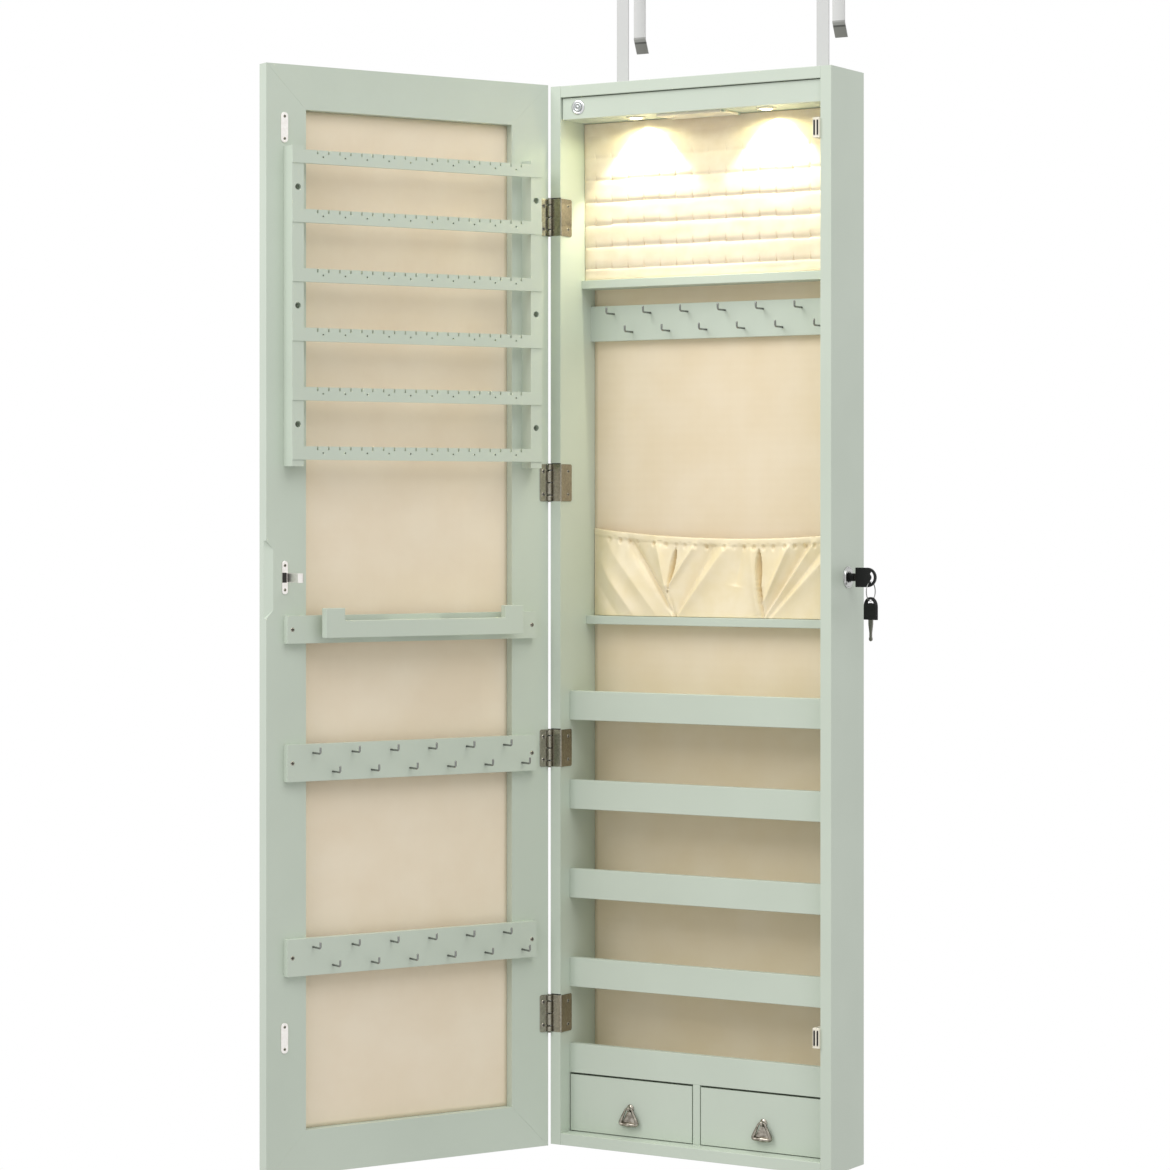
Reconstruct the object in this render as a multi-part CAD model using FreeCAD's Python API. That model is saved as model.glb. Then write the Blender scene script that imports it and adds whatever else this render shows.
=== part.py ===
import FreeCAD, Part
import math
import os

# A slim jewelry cabinet that hangs over a room door, with a full-length mirror on its own door.
# Everything is drawn at the bench: X to the right, Y to the back, Z up, zero at the case's lower left
# front corner, with the door shut. When a piece is written, the door swings to its open rest pose and
# all of it moves so that zero is the centre of the case's back face.

V = FreeCAD.Vector
RIGHT, BACK, UP = V(1, 0, 0), V(0, 1, 0), V(0, 0, 1)

# Case boards
case_w = 356.0
case_h = 1196.0
case_d = 78.0
panel_t = 13.0
back_t = 2.5
lining_t = 0.5
shelf_t = 9.5
rail_t = 9.0
soft_gap = 0.3          # air round a soft piece
over = 1.0              # how far a cutting shape runs past the face that it opens

# Door
door_over = 2.0         # the door passes the case by this much at the top and at the bottom
door_t = 16.0
door_gap = 5.4          # between the case's front edge and the door's inner face
door_open = 116.2       # rest angle, in degrees
member_w = 48.0
rebate_lap = 8.0
mirror_t = 3.0
lined_board_t = 1.8
mirror_inset = 0.2      # the mirror lies this far below the frame's outer face
glass_gap = 0.3
pull_below = 44.0       # the finger pull reaches this far below the lock's height
pull_above = 40.0
pull_reach = 8.3
pull_slant = 9.0
pull_depth = 6.5

# Hinges
hinge_ends = (148.0, 448.0)         # middles of two hinges from each end of the case
knuckles = (7.0, 14.0, 14.0, 7.0)   # from the top: case, door, case, door
knuckle_gap = 0.2
barrel_r = 2.6
pin_r = 1.2
running_gap = 0.05      # radial play of every pin and plug
leaf_t = 1.0
leaf_inset = 0.2        # of the bent leaf's web from the case's outer face
leaf_bite = 0.3         # of the flat leaf into the line of its barrels
case_leaf_reach = 23.0  # along the side panel's inner wall
door_leaf_reach = 11.3
leaf_screw_rise = 13.0
case_leaf_screw_y = 15.0
door_leaf_screw_x = 7.0
mortise_spare = 1.2
pin_head_r = 2.2
pin_head_t = 0.8

# Screws
screw_head_r = 2.4
screw_head_t = 0.8
screw_crown_r = 1.44    # the head's flat top
screw_r = 1.3
screw_l = 10.0
board_screw_l = 16.0

# Light box
fascia_drop = 38.0      # from the case's top to the fascia's lower edge
fascia_inset = 3.0
fascia_t = 9.0
fascia_gap = 0.8
ceiling_t = 3.0
lamp_shift = 3.0        # the pair of lamps sits this far right of the middle
lamp_spacing = 166.0
lamp_y = 24.0
lamp_r = 9.0
lamp_flange_r = 11.0
lamp_flange_t = 1.5
lamp_body_h = 9.0
lens_r = 6.5
lens_t = 1.0
lid_reach = 45.0        # from the middle to the lid's left end
lid_w = 84.5
lid_y = 9.0
lid_d = 38.0
lid_t = 2.5
lid_gap = 0.1
lid_ear = 4.0
lid_ear_half = 1.5
lid_shoulder = 3.0      # the plate stops this far from the hinge line beside the ears
lid_pin_r = 0.7
lid_pin_l = 2.0
latch_r = 2.2
latch_inset = 10.5
latch_depth = 1.2
cell_r = 5.25
cell_l = 44.5
cell_count = 3
cell_gap = 0.2
box_wall = 1.0
box_gap = 0.2           # between the battery box and the fascia
spring_room = 6.0
spring_r = 2.625
wire_r = 0.8
wire_bend = 6.0
batten_t = 12.0
button_x = 34.5
button_drop = 25.0
button_r = 5.0
button_proud = 2.0
button_l = 14.0
button_edge = 0.6
bezel_r = 8.5
bezel_t = 1.2
bezel_body_r = 6.5
bezel_body_l = 17.0
button_travel = 2.0
button_spare = 1.0      # air behind the pressed button

# Shelves, rails and hooks in the case
upper_shelf_drop = 226.5
upper_shelf_y = 45.7
middle_shelf_z = 587.0
middle_shelf_y = 55.5
guard_y = 20.0
guard_h = 33.0
guard_pitch = 100.8
guard_bays = 4          # rails above the one over the drawers
guard_top_z = 479.3     # underside of the highest guard rail
guard_low_z = 79.5      # underside of the one above the drawers
necklace_gap = 19.2     # from the upper shelf down to the necklace rail
necklace_h = 40.0
hook_r = 1.1
hook_out = 17.0
hook_up = 7.0
hook_bend = 2.2
hook_root = 5.0
hook_row_rise = 10.5
necklace_hooks = 6      # in each of two rows
necklace_pitch = 48.3
necklace_reach = 134.0  # from the middle to the first hook
hook_stagger = 24.3

# Ring cushion
cushion_pitch = 25.2
cushion_first = 13.5    # height of the lowest groove over the shelf
cushion_crown_y = 50.5
cushion_groove = 7.0

# Gathered pocket
pocket_cloth = 1.4
pocket_seams = (-50.0, 62.0)        # from the middle
pocket_folds = 5
pocket_heights = (0.0, 45.0, 104.0)
pocket_depths = (16.5, 15.5, 9.5)
pocket_gathers = (0.5, 1.2, 2.0)
pocket_left_h = 100.0
pocket_mid_h = 88.5
pocket_right_h = 94.0

# Drawers and their pulls
divider_t = 9.0
drawer_side_gap = 1.2
drawer_foot_gap = 1.0
drawer_head_gap = 2.2
drawer_front_t = 9.0
tray_wall = 6.0
tray_floor = 3.0
tray_h = 48.0
tray_back_gap = 3.0
runner_gap = 0.3
pull_z = 45.5
post_r = 2.8
post_foot_r = 4.5
post_foot_t = 1.2
post_out = 4.5
post_half = 1.8
bail_r = 1.2
bail_drop = 21.5
bail_half = 12.0
bail_top_half = 4.0
bail_bend = 2.6

# Magnetic catches
catch_low = 147.5
catch_drop = 66.5       # of the upper catch
catch_w = 8.0
catch_h = 22.0
catch_front = -3.2
catch_back = 30.0
pole_t = 1.2
pole_proud = 0.9
pole_h = 16.0
pole_l = 20.0
ear_h = 5.0
ear_t = 2.0
ear_y = 8.0
ear_d = 12.0
strike_w = 8.7
strike_h = 33.0
strike_t = 1.0
strike_inset = 8.7      # from the case's inner wall to the strikes' middle line
strike_screw_rise = 12.0

# Lock and keys
lock_y = 39.5
lock_rise = 46.0        # over the middle of the case's height
lock_flange_r = 11.85
lock_flange_t = 2.5
lock_barrel_r = 8.5
lock_reach = 6.0        # of the barrel behind the panel
lock_nut_r = 12.0
lock_nut_t = 5.0
plug_r = 5.0
plug_nose_r = 4.3
plug_nose_l = 6.0
plug_tail_r = 3.5
plug_tail_l = 5.5
cam_t = 2.0
cam_hub_r = 7.0
hook_in_r = 11.0
hook_out_r = 17.0
cam_start = 170.0       # locked: the hook's tip, in degrees from +Y towards +Z
cam_end = 245.0
cam_arm = 20.0
lock_turn = 90.0
key_head_l = 24.7
key_head_w = 21.2
key_head_t = 3.6
key_head_gap = 1.2
key_slot_r = 6.1
key_slot_w = 3.0
key_slot_deg = 50.0
key_blade_w = 7.0
key_blade_t = 1.6
key_blade_l = 23.2
key_neck_w = 3.4
key_tip_r = 2.6
key_shoulder = 0.2      # the blade is full width up to this share of its length
key_neck = 0.62         # and narrow from this share on
keyway_gap = 0.1
keyway_spare = 1.0      # beyond the blade's tip
split_ring_r = 10.5
split_wire_r = 0.75

# Lock strike on the door
tongue_inset = 12.6
tongue_t = 1.2
tongue_h = 10.0
tongue_out = 37.0
tongue_lip = 5.0
tongue_base_w = 7.0
tongue_base_h = 36.0
tongue_screw_rise = 13.2

# Earring rack
fitting_x = 21.0        # every inner fitting stops this far from the door's side edges
stile_w = 14.0
stile_d = 20.0
rack_drop = 87.0        # from the case's top to the rack's top
stile_h = 345.0
earring_rail_h = 14.4
earring_rail_t = 5.0
earring_rail_proud = 1.0
earring_rails = 6
earring_pitch = 63.8
earring_drop = 4.5      # from the rack's top to the first rail
notch_end = 27.2        # least distance from a rail's end to a notch
notch_pitch = 13.5
notch_w = 1.8
notch_d = 4.0
eye_r = 1.0
eye_drop = 7.0
counterbore_r = 3.4
counterbore_d = 8.0
rack_screw_drop = 44.7
rack_screw_l = 18.0
rack_screw_count = 3    # in each stile, at every second rail

# Bracelet bar
bracelet_drop = 71.0    # from the lock's height to the board's lower edge
bracelet_h = 30.0
spacer_w = 65.0
bar_gap = 11.0
bar_t = 10.0
bar_inset_left = 30.0   # from the backing board's ends to the bar's
bar_inset_right = 36.0
bar_lift = 6.0
bar_h = 18.5
upstand_w = 23.0
upstand_h = 13.5

# Hook strips on the door
strip_heights = (214.3, 424.0)
strip_h = 40.0
strip_end = 19.0        # least distance from a strip's end to a hook
strip_pitch = 48.0
strip_screw_inset = 6.0

# Over-door hangers
hanger_x = 49.5
hanger_w = 15.0
hanger_t = 2.0
hanger_rise = 140.0
hanger_slot = 36.0      # takes a door leaf up to 35 thick
hanger_bend = 3.0
hanger_straight = 64.0  # over the case's top
hanger_tail = 48.0
hanger_flare = 7.0
hanger_play = 0.3
hanger_root = 18.0
hanger_screw_pitch = 9.0

# Places that follow from the sizes above
inner_x0 = panel_t
inner_x1 = case_w - panel_t
inner_z0 = panel_t
inner_z1 = case_h - panel_t
back_y = case_d - back_t
lining_y = back_y - lining_t
middle_x = case_w / 2
door_h = case_h + 2 * door_over
door_z = -door_over
fascia_z = case_h - fascia_drop
lock_z = case_h / 2 + lock_rise
pull_low = lock_z - pull_below
pull_high = lock_z + pull_above
bracelet_z = lock_z - bracelet_drop
hinge_heights = list(hinge_ends) + [case_h - end for end in hinge_ends[::-1]]
catch_heights = (catch_low, case_h - catch_drop)
door_in_y = -door_gap
door_out_y = door_in_y - door_t
hinge_y = -door_gap / 2
leaf_h = sum(knuckles)
guard_heights = [guard_top_z - k * guard_pitch for k in range(guard_bays)] + [guard_low_z]
catch_x0 = inner_x1 - catch_w
strike_x = inner_x1 - strike_inset
tongue_x = inner_x1 - tongue_inset
upper_shelf_z = case_h - upper_shelf_drop
necklace_z = upper_shelf_z - necklace_gap - necklace_h
fitting_w = case_w - 2 * fitting_x
rack_top_z = case_h - rack_drop
bar_x = fitting_x + bar_inset_left
bar_w = fitting_w - bar_inset_left - bar_inset_right
bar_z = bracelet_z + bar_lift
lid_x = middle_x - lid_reach


# ---- Plain shapes ----

def box(x0, x1, y0, y1, z0, z1):
    return Part.makeBox(x1 - x0, y1 - y0, z1 - z0, V(x0, y0, z0))


def rod(radius, start, along, length):
    return Part.makeCylinder(radius, length, start, along)


def prism(points, along):
    return Part.Face(Part.makePolygon(points + points[:1])).extrude(along)


def arc(start, through, end):
    return Part.Arc(start, through, end).toShape()


def line(start, end):
    return Part.LineSegment(start, end).toShape()


def fuse(shapes):
    return shapes[0].fuse(shapes[1:]).removeSplitter()


def group(shapes):
    return Part.makeCompound(shapes)


def polar(centre, radius, degrees):
    """A point round `centre` in the YZ plane, from +Y towards +Z."""
    turn = math.radians(degrees)
    return centre + V(0, radius * math.cos(turn), radius * math.sin(turn))


def rounded_corner(before, corner, after, radius):
    """The three points of an arc that rounds one corner of a path."""
    into = (corner - before).normalize()
    out = (after - corner).normalize()
    half = into.getAngle(out) / 2
    setback = radius * math.tan(half)
    middle = corner + (out - into).normalize() * (radius / math.cos(half) - radius)
    return corner - into * setback, middle, corner + out * setback


def tube(points, bend, radius):
    """A round wire along straight runs joined by tangent arcs."""
    edges = []
    start = points[0]
    for before, corner, after in zip(points, points[1:], points[2:]):
        a, middle, b = rounded_corner(before, corner, after, bend)
        edges += [line(start, a), arc(a, middle, b)]
        start = b
    edges.append(line(start, points[-1]))
    rim = Part.Wire(Part.makeCircle(radius, points[0], points[1] - points[0]))
    return Part.Wire(edges).makePipeShell([rim], True, False)


def closed_tube(points, bend, radius):
    """A round wire along a closed polygon with rounded corners."""
    edges = []
    first = (points[0] + points[-1]) / 2
    start = first
    for k, corner in enumerate(points):
        a, middle, b = rounded_corner(points[k - 1], corner, points[(k + 1) % len(points)], bend)
        edges += [line(start, a), arc(a, middle, b)]
        start = b
    edges.append(line(start, first))
    rim = Part.Wire(Part.makeCircle(radius, first, points[0] - first))
    return Part.Wire(edges).makePipeShell([rim], True, False)


def screw(seat, inward, length=screw_l):
    """A low round head on `seat` with its shank running inward."""
    head = Part.makeCone(screw_head_r, screw_crown_r, screw_head_t, seat, inward * -1)
    return head.fuse(rod(screw_r, seat, inward, length)).removeSplitter()


def drilled(piece, seats, inward, length=screw_l):
    """The piece with the shank holes of screws that sit on `seats`."""
    return piece.cut([rod(screw_r, seat, inward, length) for seat in seats])


# ---- Hinges ----

def knuckle_spans(centre_z):
    """Top and bottom of each knuckle, from the top down."""
    top = centre_z + leaf_h / 2
    spans = []
    for height in knuckles:
        spans.append((top - height + knuckle_gap / 2, top - knuckle_gap / 2))
        top -= height
    return spans


def barrel(low, high):
    return rod(barrel_r, V(0, hinge_y, low), UP, high - low)


def pin_bore(centre_z):
    return rod(pin_r + running_gap, V(0, hinge_y, centre_z - leaf_h), UP, leaf_h * 2)


def case_leaf_seats(centre_z):
    return [V(inner_x0 + leaf_t, case_leaf_screw_y, centre_z + s * leaf_screw_rise) for s in (-1, 1)]


def door_leaf_seats(centre_z):
    return [V(door_leaf_screw_x, door_in_y + leaf_t, centre_z + s * leaf_screw_rise) for s in (-1, 1)]


def case_leaf(centre_z):
    """Bent leaf: across the mortised front edge, then back along the panel's inner wall."""
    low, high = centre_z - leaf_h / 2, centre_z + leaf_h / 2
    pieces = [box(leaf_inset, inner_x0 + leaf_t, 0, leaf_t, low, high),
              box(inner_x0, inner_x0 + leaf_t, 0, case_leaf_reach, low, high)]
    for span in knuckle_spans(centre_z)[0::2]:
        pieces.append(barrel(*span))
        pieces.append(box(leaf_inset, leaf_inset + leaf_t, hinge_y, leaf_t, *span))
    leaf = fuse(pieces).cut(pin_bore(centre_z))
    return drilled(leaf, case_leaf_seats(centre_z), RIGHT * -1)


def door_leaf(centre_z):
    """Flat leaf on the door's inner face, tangent to its knuckles."""
    low, high = centre_z - leaf_h / 2, centre_z + leaf_h / 2
    clear_x = barrel_r - leaf_bite
    pieces = [box(clear_x, door_leaf_reach, door_in_y, door_in_y + leaf_t, low, high)]
    for span in knuckle_spans(centre_z)[1::2]:
        pieces.append(barrel(*span))
        pieces.append(box(0, clear_x, door_in_y, door_in_y + leaf_t, *span))
    leaf = fuse(pieces).cut(pin_bore(centre_z))
    return drilled(leaf, door_leaf_seats(centre_z), BACK * -1)


def hinge_pin(centre_z):
    low, high = centre_z - leaf_h / 2 - knuckle_gap, centre_z + leaf_h / 2 + knuckle_gap
    return fuse([rod(pin_r, V(0, hinge_y, low), UP, high - low),
                 rod(pin_head_r, V(0, hinge_y, high), UP, pin_head_t),
                 rod(pin_head_r, V(0, hinge_y, low - pin_head_t), UP, pin_head_t)])


# ---- Case boards ----

def side_panel_left():
    panel = box(0, panel_t, 0, case_d, 0, case_h)
    for z in hinge_heights:
        panel = panel.cut(box(-over, panel_t, -over, leaf_t, z - leaf_h / 2, z + leaf_h / 2 + mortise_spare))
        panel = drilled(panel, case_leaf_seats(z), RIGHT * -1)
    return panel


def side_panel_right():
    panel = box(inner_x1, case_w, 0, case_d, 0, case_h)
    panel = panel.cut(rod(lock_barrel_r, lock_axis(inner_x1 - over), RIGHT, panel_t + 2 * over))
    return drilled(panel, catch_seats(), RIGHT)


def hanger_places():
    return (hanger_x, case_w - hanger_x)


def strap_notches():
    half = hanger_w / 2 + hanger_play
    return [box(x - half, x + half, back_y, case_d + over, fascia_z + ceiling_t, case_h + over)
            for x in hanger_places()]


def top_panel():
    return box(inner_x0, inner_x1, 0, case_d, inner_z1, case_h).cut(strap_notches())


def bottom_panel():
    return box(inner_x0, inner_x1, 0, case_d, 0, panel_t)


def back_panel():
    return box(inner_x0, inner_x1, back_y, case_d, inner_z0, inner_z1).cut(strap_notches())


def back_lining():
    return box(inner_x0, inner_x1, lining_y, back_y, inner_z0, fascia_z)


def hanging_batten():
    batten = box(inner_x0, inner_x1, back_y - batten_t, back_y, fascia_z + ceiling_t, inner_z1)
    return drilled(batten, hanger_seats(), BACK * -1)


# ---- Light box ----

def button_axis(y):
    return V(button_x, y, case_h - button_drop)


def light_fascia():
    board = box(inner_x0 + fascia_gap, inner_x1, fascia_inset, fascia_inset + fascia_t,
                fascia_z, inner_z1 - fascia_gap)
    return board.cut(rod(bezel_body_r, button_axis(0), BACK, case_d))


def lamp_places():
    return [V(middle_x + lamp_shift + s * lamp_spacing / 2, lamp_y, fascia_z) for s in (-1, 1)]


def lid_axis():
    return V(lid_x + lid_w, lid_y, fascia_z - lid_gap - lid_t / 2)


def box_frame():
    """Lower corner and inner sizes of the battery box, which opens down through the ceiling board."""
    inner_l = cell_l + spring_room
    inner_d = cell_count * 2 * cell_r + (cell_count + 1) * cell_gap
    x = lid_x + (lid_w - inner_l) / 2
    y = fascia_inset + fascia_t + box_gap + box_wall
    return V(x, y, fascia_z + ceiling_t), inner_l, inner_d


def light_ceiling():
    """Board over the cushion, with the lamps' holes, the battery window and the lid's two ears."""
    board = box(inner_x0, inner_x1, fascia_inset + fascia_t, back_y, fascia_z, fascia_z + ceiling_t)
    corner, inner_l, inner_d = box_frame()
    window = box(corner.x, corner.x + inner_l, corner.y, corner.y + inner_d, fascia_z - over, corner.z + over)
    holes = [rod(lamp_r, at - UP * over, UP, ceiling_t + 2 * over) for at in lamp_places()]
    board = board.cut([window] + holes)
    axis = lid_axis()
    ears = [box(axis.x - lid_ear_half, axis.x + lid_ear_half, y, y + lid_ear, axis.z - lid_t / 2, fascia_z)
            for y in (lid_y, lid_y + lid_d - lid_ear)]
    board = fuse([board] + ears)
    bore = rod(lid_pin_r + running_gap, V(axis.x, lid_y, axis.z), BACK, lid_d)
    return board.cut(bore)


def battery_lid():
    """Hinged lid: a plate with a rounded end between the ears, two pin stubs and a latch dimple."""
    axis = lid_axis()
    low, high = axis.z - lid_t / 2, axis.z + lid_t / 2
    mid0, mid1 = lid_y + lid_ear + lid_gap, lid_y + lid_d - lid_ear - lid_gap
    pieces = [box(lid_x, axis.x - lid_shoulder, lid_y, lid_y + lid_d, low, high),
              box(axis.x - lid_shoulder, axis.x, mid0, mid1, low, high),
              rod(lid_t / 2, V(axis.x, mid0, axis.z), BACK, mid1 - mid0),
              rod(lid_pin_r, V(axis.x, mid0 - lid_pin_l, axis.z), BACK, mid1 - mid0 + 2 * lid_pin_l)]
    dimple = rod(latch_r, V(lid_x + latch_inset, lid_y + lid_d / 2, low - over), UP, latch_depth + over)
    return fuse(pieces).cut(dimple)


def led_lamps():
    """Each lamp: a flanged housing in the ceiling and a round lens under it."""
    solids = []
    for at in lamp_places():
        flange_low = at - UP * lamp_flange_t
        solids.append(fuse([rod(lamp_flange_r, flange_low, UP, lamp_flange_t),
                            rod(lamp_r, at, UP, lamp_body_h)]))
        solids.append(rod(lens_r, flange_low - UP * lens_t, UP, lens_t))
    return group(solids)


def cell_low_z():
    """The cells lie just above the shut lid."""
    return fascia_z + cell_gap


def battery_box():
    corner, inner_l, inner_d = box_frame()
    roof = cell_low_z() + 2 * cell_r + cell_gap
    shell = box(corner.x - box_wall, corner.x + inner_l + box_wall,
                corner.y - box_wall, corner.y + inner_d + box_wall, corner.z, roof + box_wall)
    return shell.cut(box(corner.x, corner.x + inner_l, corner.y, corner.y + inner_d, corner.z - over, roof))


def battery_cells():
    """Cells pressed between the box's end wall and their contact springs."""
    corner, _, _ = box_frame()
    solids = []
    for k in range(cell_count):
        y = corner.y + cell_gap + cell_r + k * (2 * cell_r + cell_gap)
        centre = V(corner.x, y, cell_low_z() + cell_r)
        solids.append(rod(cell_r, centre, RIGHT, cell_l))
        solids.append(rod(spring_r, centre + RIGHT * cell_l, RIGHT, spring_room))
    return group(solids)


def led_wiring():
    """Leads from the battery box to both lamps and to the switch."""
    corner, inner_l, _ = box_frame()
    left_x, right_x = corner.x - box_wall, corner.x + inner_l + box_wall
    wire_z = corner.z + cell_r
    lamp_left, lamp_right = lamp_places()
    row_y = lamp_y + lamp_r + wire_bend
    switch_y = fascia_inset + bezel_body_l
    return group([
        tube([V(left_x, lamp_y, wire_z), V(lamp_left.x + lamp_r, lamp_y, wire_z)], wire_bend, wire_r),
        tube([V(right_x, lamp_y, wire_z), V(lamp_right.x - lamp_r, lamp_y, wire_z)], wire_bend, wire_r),
        tube([V(left_x, row_y, wire_z), V(button_x, row_y, wire_z), V(button_x, switch_y, wire_z)],
             wire_bend, wire_r)])


def switch_bezel():
    """Chromed rim on the fascia with the switch's closed barrel behind it."""
    rim = rod(bezel_r, button_axis(fascia_inset - bezel_t), BACK, bezel_t)
    body = rod(bezel_body_r, button_axis(fascia_inset), BACK, bezel_body_l)
    well_l = fascia_inset - button_proud + button_l + button_travel + button_spare
    well = rod(button_r + running_gap, button_axis(0), BACK, well_l)
    return fuse([rim, body]).cut(well)


def switch_button():
    front = button_axis(fascia_inset - button_proud)
    button = rod(button_r, front, BACK, button_l)
    rim = [edge for edge in button.Edges if edge.isClosed() and edge.CenterOfMass.y < front.y + button_edge]
    return button.makeFillet(button_edge, rim)


# ---- Shelves, rails and hooks ----

def shelf(front_y, z):
    return box(inner_x0, inner_x1, front_y, lining_y, z, z + shelf_t)


def guard_rails():
    return group([box(inner_x0, inner_x1, guard_y, guard_y + rail_t, z, z + guard_h) for z in guard_heights])


def bay_shelves():
    return group([shelf(guard_y + rail_t, z) for z in guard_heights])


def hook(root, outward):
    """An L-shaped wire hook: its root in the wood, its shank outward, its tip up."""
    tip = root + outward * (hook_root + hook_out)
    return tube([root, tip, tip + UP * hook_up], hook_bend, hook_r)


def hook_hole(root, outward):
    return rod(hook_r, root, outward, hook_root + over)


def necklace_roots():
    y = lining_y - rail_t + hook_root
    middle = necklace_z + necklace_h / 2
    upper = [V(middle_x - necklace_reach + k * necklace_pitch, y, middle + hook_row_rise)
             for k in range(necklace_hooks)]
    lower = [root + V(hook_stagger, 0, -2 * hook_row_rise) for root in upper]
    return upper + lower


def necklace_rail():
    rail = box(inner_x0, inner_x1, lining_y - rail_t, lining_y, necklace_z, necklace_z + necklace_h)
    return rail.cut([hook_hole(root, BACK * -1) for root in necklace_roots()])


def necklace_hook_set():
    return group([hook(root, BACK * -1) for root in necklace_roots()])


def ring_cushion():
    """Velvet cushion of horizontal rolls; rings are pushed into the grooves between them."""
    low = upper_shelf_z + shelf_t
    high = fascia_z - soft_gap
    groove_y = cushion_crown_y + cushion_groove
    grooves = [low]
    z = low + cushion_first
    while z < high - cushion_groove:
        grooves.append(z)
        z += cushion_pitch
    grooves.append(high)
    x = inner_x0 + soft_gap
    edges = [line(V(x, lining_y, high), V(x, lining_y, low)), line(V(x, lining_y, low), V(x, groove_y, low))]
    for z0, z1 in zip(grooves, grooves[1:]):
        crown = cushion_groove * min(1.0, (z1 - z0) / cushion_pitch)
        edges.append(arc(V(x, groove_y, z0), V(x, groove_y - crown, (z0 + z1) / 2), V(x, groove_y, z1)))
    edges.append(line(V(x, groove_y, high), V(x, lining_y, high)))
    return Part.Face(Part.Wire(edges)).extrude(RIGHT * (inner_x1 - inner_x0 - 2 * soft_gap))


def pocket_curve(z, depth, gather, back):
    """The cloth's line at one level: three bays of folds, sewn to the lining at the seams."""
    stops = [inner_x0 + soft_gap] + [middle_x + seam for seam in pocket_seams] + [inner_x1 - soft_gap]
    edges = []
    for left, right in zip(stops, stops[1:]):
        def point(share, push):
            bulge = depth * math.sin(math.pi * share)
            return V(left + (right - left) * share, back - bulge - push, z)
        for k in range(pocket_folds):
            edges.append(arc(point(k / pocket_folds, 0), point((k + 0.5) / pocket_folds, gather),
                             point((k + 1) / pocket_folds, 0)))
    return edges


def pocket():
    """Gathered cloth front: folds that deepen towards the elastic hem, whose line sags."""
    foot = middle_shelf_z + shelf_t + soft_gap
    inner_y = lining_y - soft_gap
    outer_y = inner_y - pocket_cloth
    x0, x1 = inner_x0 + soft_gap, inner_x1 - soft_gap
    sections = []
    for height, depth, gather in zip(pocket_heights, pocket_depths, pocket_gathers):
        z = foot + height
        front = pocket_curve(z, depth, gather, outer_y)
        rear = pocket_curve(z, depth, gather, inner_y)
        right_end = line(V(x1, outer_y, z), V(x1, inner_y, z))
        left_end = line(V(x0, inner_y, z), V(x0, outer_y, z))
        sections.append(Part.Wire(front + [right_end] + rear[::-1] + [left_end]))
    cloth = Part.makeLoft(sections, True, True)
    left = V(x0 - over, 0, foot + pocket_left_h)
    right = V(x1 + over, 0, foot + pocket_right_h)
    lift = UP * (pocket_heights[-1] + over)
    hem = [arc(left, V((x0 + x1) / 2, 0, foot + pocket_mid_h), right), line(right, right + lift),
           line(right + lift, left + lift), line(left + lift, left)]
    return cloth.cut(Part.Face(Part.Wire(hem)).extrude(BACK * case_d))


# ---- Magnetic catches ----

def catch_seats():
    y = ear_y + ear_d / 2
    return [V(inner_x1 - ear_t, y, z + s * (catch_h + ear_h) / 2) for z in catch_heights for s in (-1, 1)]


def pole_places():
    return (catch_x0 + catch_w / 4 - pole_t / 2, catch_x0 + catch_w * 3 / 4 - pole_t / 2)


def poles(z):
    return [box(x, x + pole_t, catch_front - pole_proud, catch_front - pole_proud + pole_l,
                z - pole_h / 2, z + pole_h / 2) for x in pole_places()]


def magnetic_catches():
    """Each catch: a housing with two screw ears, and two steel poles that stand out in front."""
    solids = []
    for z in catch_heights:
        half = catch_h / 2
        body = box(catch_x0, inner_x1, catch_front, catch_back, z - half, z + half)
        ears = box(inner_x1 - ear_t, inner_x1, ear_y, ear_y + ear_d, z - half - ear_h, z + half + ear_h)
        solids.append(drilled(fuse([body, ears]).cut(poles(z)), catch_seats(), RIGHT))
        solids += poles(z)
    return group(solids)


# ---- Lock ----

def lock_axis(x):
    return V(x, lock_y, lock_z)


def lock_barrel():
    body = fuse([rod(lock_flange_r, lock_axis(case_w), RIGHT, lock_flange_t),
                 rod(lock_barrel_r, lock_axis(inner_x1 - lock_reach), RIGHT, panel_t + lock_reach)])
    return body.cut(rod(plug_r + running_gap, lock_axis(0), RIGHT, case_w * 2))


def lock_nut():
    nut = rod(lock_nut_r, lock_axis(inner_x1 - lock_nut_t), RIGHT, lock_nut_t)
    return nut.cut(rod(lock_barrel_r, lock_axis(0), RIGHT, case_w))


def plug_back_x():
    return inner_x1 - lock_reach


def lock_plug():
    """Turning core: a nose outside, the core in the barrel, and a tail that carries the cam."""
    nose_x = case_w + lock_flange_t
    core = fuse([rod(plug_r, lock_axis(plug_back_x()), RIGHT, nose_x - plug_back_x()),
                 rod(plug_nose_r, lock_axis(nose_x), RIGHT, plug_nose_l),
                 rod(plug_tail_r, lock_axis(plug_back_x() - plug_tail_l), RIGHT, plug_tail_l)])
    half_w = key_blade_w / 2 + keyway_gap
    half_t = key_blade_t / 2 + keyway_gap
    end_x = key_flat_x()
    return core.cut(box(end_x - key_blade_l - keyway_spare, end_x, lock_y - half_t, lock_y + half_t,
                        lock_z - half_w, lock_z + half_w))


def annular_sector(x, inner, outer, start, end, thickness):
    centre = lock_axis(x)
    middle = (start + end) / 2
    edges = [arc(polar(centre, outer, start), polar(centre, outer, middle), polar(centre, outer, end)),
             line(polar(centre, outer, end), polar(centre, inner, end)),
             arc(polar(centre, inner, end), polar(centre, inner, middle), polar(centre, inner, start)),
             line(polar(centre, inner, start), polar(centre, outer, start))]
    return Part.Face(Part.Wire(edges)).extrude(RIGHT * thickness)


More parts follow.
